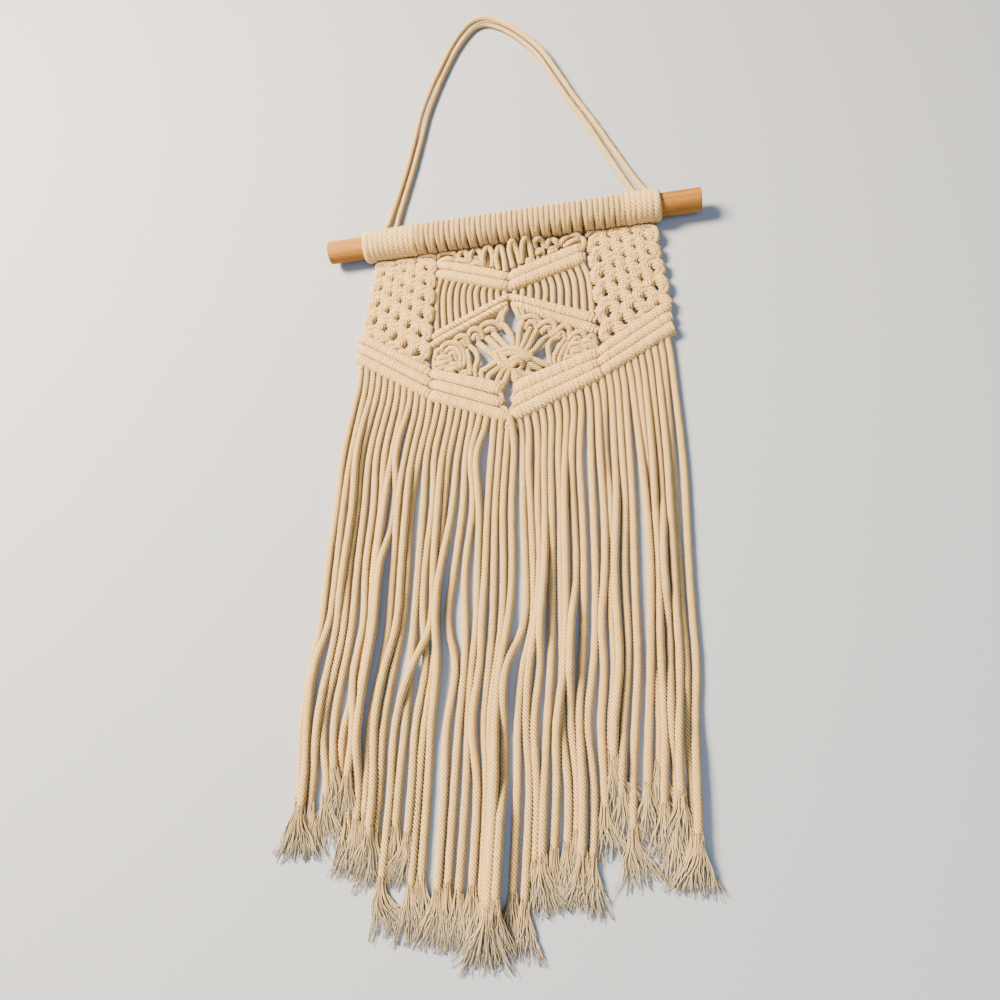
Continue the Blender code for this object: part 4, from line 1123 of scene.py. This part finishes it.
# the fringe's cords, with their loose thread ends
fringeLook = {
    "blocks": (12, 11, 12, 11),  # strands from each stretch of the lowest bar
    "leans": ((0.0, 0.0), (1.5, 0.8), (-3.0, -1.2), (-2.0, -0.8)),  # and how far they lean there
    "levels": ((-182, -210), (-223, -247), (-271, -292), (-313, -330), (-337, -353),
               (-378, -390), (-413, -419)),  # y at the first and last strand
    "drift": (-0.065, -0.11),  # sideways for each mm down past the last level
    "radius": 2.65, "flat": (0.95, 1.07), "swell": 0.03, "swellRate": 0.4,
    "roots": ((4.0, 4.2), (-1.0, 4.6), (-8.0, 3.25)),  # y from the bar, z
    "rootClear": 26.0, "neckClear": 8.0,  # levels nearer to a strand's ends are left out
    "rest": 2.65, "touch": 4.5, "waver": 0.5, "waverLength": 19.0,
    "soften": 10, "climb": 5, "climbSoften": 9,  # in points along the strand
    "under": (3, 6, 7, 11, 15, 35, 40, 44),  # strands that the others lie over
    "pieces": (("fringe_left", 0, 16), ("fringe_middle", 16, 31), ("fringe_right", 31, 46)),
    "opened": 9, "neckSize": 0.4,  # a cord's last points taper inside its loose threads
    "frayLength": 24.0, "threads": 54, "threadPoints": 9,
    "threadRadii": (0.25, 0.46, 0.28), "thickest": 0.25,  # start, thickest place, tip
    "threadPlaces": (0.5, 0.85, 0.95, 1.0), "threadLengths": (0.66, 1.05),
    "wear": 0.25, "wearPower": 1.5,  # how pale the threads' tips get
    "fan": 0.13, "stray": 0.07, "curl": 0.003, "stagger": 0.85, "loose": 0.3,
    "waves": (0.35, 1.0), "waveStart": 6.0, "waveTurn": 9.0,
    "tips": (0.4, 2.8), "sink": 1.2, "lowest": 0.4,
    "bend": 12.0, "pull": 0.8,  # how soon and how far the threads turn to their tuft
    "tufts": (  # where the frays' lower ends gather
        (-147, -455), (-128, -438), (-111, -465), (-91, -471), (-64, -465), (-70, -500),
        (-49, -504), (-33, -504), (-20, -516), (-1, -509), (9, -489), (21, -482), (34, -478),
        (42, -487), (48, -460), (56, -435), (78, -438), (71, -452), (77, -461), (69, -477),
        (84, -479)),
    "strands": (  # y of a strand's end, then its x at each level
        (-452, -132.5, -135.7, -140.1, -141.6, -147.1, -151.6, -149.0),
        (-457, -127.0, -130.4, -134.0, -136.6, -143.9, -147.3, -146.3),
        (-455, -122.0, -123.1, -127.0, -131.6, -135.5, -139.6, -141.4),
        (-450, -119.3, -120.4, -124.3, -126.2, -130.1, -136.9, -131.0),
        (-436, -113.2, -114.5, -118.2, -120.8, -123.9, -129.6, -125.5),
        (-440, -107.7, -108.3, -112.1, -112.3, -118.2, -114.4, -118.3),
        (-438, -100.9, -102.6, -106.6, -106.9, -109.5, -123.6, -122.8),
        (-464, -95.1, -99.9, -103.9, -105.6, -109.5, -114.4, -115.6),
        (-467, -92.4, -92.5, -100.2, -102.9, -106.8, -111.7, -110.6),
        (-462, -85.4, -89.8, -92.4, -94.5, -98.6, -106.2, -105.7),
        (-470, -80.1, -83.2, -85.6, -88.4, -95.9, -101.9, -100.8),
        (-472, -74.8, -80.5, -82.9, -85.7, -89.9, -96.9, -98.1),
        (-468, -69.0, -71.6, -74.8, -77.0, -79.1, -82.7, -85.3),
        (-474, -64.3, -64.2, -70.3, -71.7, -68.0, -75.6, -77.2),
        (-498, -57.6, -59.9, -63.6, -64.4, -76.4, -89.3, -91.0),
        (-501, -52.4, -57.2, -60.9, -61.7, -63.5, -70.2, -72.4),
        (-497, -46.3, -50.8, -57.8, -61.7, -60.8, -65.3, -66.8),
        (-505, -40.2, -43.0, -49.4, -54.5, -48.1, -56.3, -56.4),
        (-502, -37.5, -35.7, -41.9, -42.9, -43.5, -47.3, -50.4),
        (-506, -33.2, -30.8, -34.0, -34.8, -38.1, -41.9, -43.7),
        (-503, -23.9, -25.8, -27.9, -31.4, -33.5, -39.2, -35.9),
        (-508, -17.4, -20.4, -21.8, -24.7, -27.7, -31.9, -30.0),
        (-516, -14.6, -14.6, -15.7, -18.8, -22.7, -27.4, -27.3),
        (-514, -9.6, -8.8, -10.1, -13.8, -19.6, -24.7, -24.6),
        (-510, -0.4, -0.4, -0.7, -3.8, -16.3, -18.5, -20.3),
        (-507, 4.6, 4.5, 4.4, 1.8, -5.6, -10.1, -11.8),
        (-511, 11.8, 9.8, 8.3, 4.5, -0.8, -5.8, -4.8),
        (-490, 16.3, 13.8, 12.5, 7.2, 5.3, -1.0, 0.6),
        (-488, 20.4, 18.6, 17.2, 14.0, 11.8, 8.0, 4.8),
        (-482, 26.2, 24.7, 22.9, 20.9, 19.4, 16.2, 19.3),
        (-484, 30.7, 28.6, 25.6, 23.6, 22.1, 13.5, 11.3),
        (-477, 35.6, 33.8, 32.3, 27.4, 25.1, 21.6, 24.2),
        (-486, 40.9, 39.4, 38.2, 34.7, 31.4, 27.0, 27.9),
        (-489, 48.5, 47.2, 45.6, 41.6, 39.0, 32.4, 34.0),
        (-462, 55.5, 54.0, 51.8, 45.6, 45.7, 40.1, 40.7),
        (-434, 59.0, 59.1, 55.3, 52.9, 52.4, 45.8, 43.4),
        (-437, 64.7, 62.9, 58.0, 55.6, 55.1, 48.5, 45.9),
        (-455, 70.3, 68.4, 64.2, 62.4, 59.8, 53.8, 50.4),
        (-476, 75.5, 73.1, 70.7, 67.9, 66.0, 60.7, 57.0),
        (-452, 83.3, 82.3, 80.9, 77.0, 74.2, 68.6, 65.5),
        (-440, 87.6, 85.5, 83.6, 79.8, 78.0, 75.2, 71.9),
        (-463, 91.0, 88.2, 85.8, 82.5, 80.7, 77.9, 74.6),
        (-475, 95.3, 94.0, 88.5, 88.0, 86.1, 82.4, 81.4),
        (-458, 100.4, 97.5, 95.7, 93.0, 91.4, 86.1, 84.1),
        (-479, 103.0, 100.2, 98.4, 95.7, 95.2, 91.3, 90.8),
        (-480, 111.0, 108.0, 105.3, 102.7, 101.3, 95.7, 93.5),
    ),
}


def fringeRoots(look):
    # evenly along the lowest bar: side panel, the two halves, side panel
    leftX, leftY, midY, _, rightX, rightY = panelRows[-1]
    ends = panelShape["borderEnds"]
    corners = (ends[-1][-1], (leftX, leftY), (centreX(midY), midY), (rightX, rightY), ends[1][-1])
    roots = []
    for a, b, count in zip(corners, corners[1:], look["blocks"]):
        for strand in range(count):
            roots.append(between(np.array(a), np.array(b), (strand + 0.5) / count))
    return roots


def windows(values, reach, **padding):
    # the values moved along by each step up to reach, both ways
    padded = np.pad(values, reach, **padding)
    return [padded[k:k + len(values)] for k in range(2 * reach + 1)]


def strandLines(look):
    rng = random.Random(71)
    leans = [lean for lean, count in zip(look["leans"], look["blocks"]) for _ in range(count)]
    lines = []
    last = len(look["strands"]) - 1
    for number, (root, lean, row) in enumerate(zip(fringeRoots(look), leans, look["strands"])):
        neck = row[0] + look["frayLength"]
        route = [(root[0] + x, root[1] + y, z) for x, (y, z) in zip((*lean, 0.0), look["roots"])]
        waver = anyTurn(rng)
        share = number / last
        levels = [between(*level, share) for level in look["levels"]]
        for y, x in zip(levels, row[1:]):
            if root[1] - look["rootClear"] > y > neck + look["neckClear"]:
                x += look["waver"] * math.sin(waver + y / look["waverLength"])
                route.append((x, y, look["rest"]))
        below = levels[-1] - neck
        route.append((row[-1] + between(*look["drift"], share) * below, neck, look["rest"]))
        line = smoothLine(route, cordLook["lay"] / cordLook["ringsALay"])
        for _ in range(2):  # twice over, so that no corner is left
            line[:, 0] = np.mean(windows(line[:, 0], look["soften"], mode="reflect",
                                         reflect_type="odd"), axis=0)
        lines.append(line)
    return lines


def stackLines(lines, look):
    # a strand climbs onto the strands laid before it
    order = list(look["under"]) + [k for k in range(len(lines)) if k not in look["under"]]
    laid = []
    for number in order:
        line = lines[number]
        height = line[:, 2].copy()
        for other in laid:
            inside = (line[:, 1] < other[0, 1]) & (line[:, 1] > other[-1, 1])
            x = np.interp(-line[:, 1], -other[:, 1], other[:, 0])
            z = np.interp(-line[:, 1], -other[:, 1], other[:, 2])
            room = look["touch"] ** 2 - (line[:, 0] - x) ** 2
            climb = np.where(inside & (room > 0), z + np.sqrt(np.maximum(room, 0)), 0)
            height = np.maximum(height, climb)
        height = np.max(windows(height, look["climb"], mode="edge"), axis=0)
        height = np.mean(windows(height, look["climbSoften"], mode="edge"), axis=0)
        line[:, 2] = np.maximum(line[:, 2], height)
        laid.append(line)


def addFray(shape, start, foot, way, rng, look):
    # loose wavy threads: along the cord from start to its foot, then fanning out along way
    across = np.array((-way[1], way[0]))
    run = foot[:2] - start[:2]
    opened = np.linalg.norm(run)
    run /= opened
    wear = np.linspace(1.0, look["wear"], look["threadPoints"]) ** look["wearPower"]
    for _ in range(look["threads"]):
        turn = anyTurn(rng)
        out = look["radius"] * rng.choice(look["threadPlaces"])
        side, up = out * math.cos(turn), out * math.sin(turn)
        spread = look["fan"] * side + rng.gauss(0, look["stray"])
        curl = rng.gauss(0, look["curl"])
        begin = opened * rng.uniform(0.0, look["stagger"])
        reach = opened + look["frayLength"] * rng.uniform(*look["threadLengths"])
        wave, size = anyTurn(rng), rng.uniform(*look["waves"])
        low = rng.uniform(*look["tips"])
        line = []
        for t in np.linspace(0, 1, look["threadPoints"]):
            here = between(begin, reach, t)
            far = max(here - opened, 0.0)
            free = far + look["loose"] * (here - begin)
            aside = side + spread * free + curl * free * free
            grown = size * min(far / look["waveStart"], 1.0)
            aside += grown * math.sin(wave + look["waveTurn"] * t)
            bent = between(run, way, min(far / look["bend"], 1.0))
            place = start[:2] + run * min(here, opened) + bent * far + across * aside
            z = between(foot[2] + up, low, t ** look["sink"])
            line.append((*place, max(look["lowest"], z)))
        radii = np.interp(np.linspace(0, 1, len(line)), (0, look["thickest"], 1),
                          look["threadRadii"])
        addTube(shape, line, radii, threadSides, tone=rng.random(), rounded=False, wear=wear)


def makeFringe(look):
    lines = strandLines(look)
    stackLines(lines, look)
    opened = look["opened"]
    for name, first, last in look["pieces"]:
        shape = newShape()
        rng = random.Random(81 + first)
        for line in lines[first:last]:
            wave = anyTurn(rng) + look["swellRate"] * np.arange(len(line))
            radii = look["radius"] * (1 + look["swell"] * np.sin(wave))
            radii[-opened:] *= np.linspace(1.0, look["neckSize"], opened)
            addTube(shape, line, radii, freePly, cordLook["lay"], anyTurn(rng), rng.random(),
                    flat=look["flat"])
        finishPiece(name, shape, cotton, ["fringe"])
    shape = newShape()
    rng = random.Random(91)
    tufts = np.array(look["tufts"], dtype=float)
    for line in lines:
        foot = line[-1]
        way = foot[:2] - line[-opened][:2]
        way /= np.linalg.norm(way)
        apart = tufts - foot[:2]
        nearest = apart[np.argmin(np.linalg.norm(apart - (0, -look["frayLength"]), axis=1))]
        way = way + look["pull"] * nearest / np.linalg.norm(nearest)
        way /= np.linalg.norm(way)
        addFray(shape, line[-opened], foot, way, rng, look)
    finishPiece("fringe_frays", shape, frayCotton, [])


makeFringe(fringeLook)

studioLook = {
    "floor": (0.30, 0.335, 0.425), "floorSize": 8.0, "roughness": 0.9, "specular": 0.5,
    "world": (0.68, 0.86, 1.0), "worldStrength": 0.2,
    "lights": (  # name, location, size, power, colour
        ("key", (-1.0, 0.55, 1.2), 0.6, 196.0, (1.0, 0.80, 0.52)),
        ("fill", (0.3, -0.9, 1.4), 1.4, 24.0, (0.82, 0.92, 1.0))),
}


def makeStudio(look):
    bpy.ops.object.select_all(action="DESELECT")
    bpy.ops.mesh.primitive_plane_add(size=look["floorSize"], location=(0, 0, 0))
    floor = bpy.context.object
    floor.name = "floor"
    material, _, shader = newMaterial("pale_floor", look)
    shader.inputs["Base Color"].default_value = (*look["floor"], 1.0)
    floor.data.materials.append(material)
    for name, location, size, power, colour in look["lights"]:
        data = bpy.data.lights.new(name, "AREA")
        data.size = size
        data.energy = power
        data.color = colour
        lamp = bpy.data.objects.new(name, data)
        lamp.location = location
        lamp.rotation_euler = (-Vector(location)).to_track_quat("-Z", "Y").to_euler()
        bpy.context.scene.collection.objects.link(lamp)
    world = bpy.data.worlds.new("studio")
    world.use_nodes = True
    background = world.node_tree.nodes["Background"]
    background.inputs["Color"].default_value = (*look["world"], 1.0)
    background.inputs["Strength"].default_value = look["worldStrength"]
    bpy.context.scene.world = world
    print("floor and lights set")


makeStudio(studioLook)
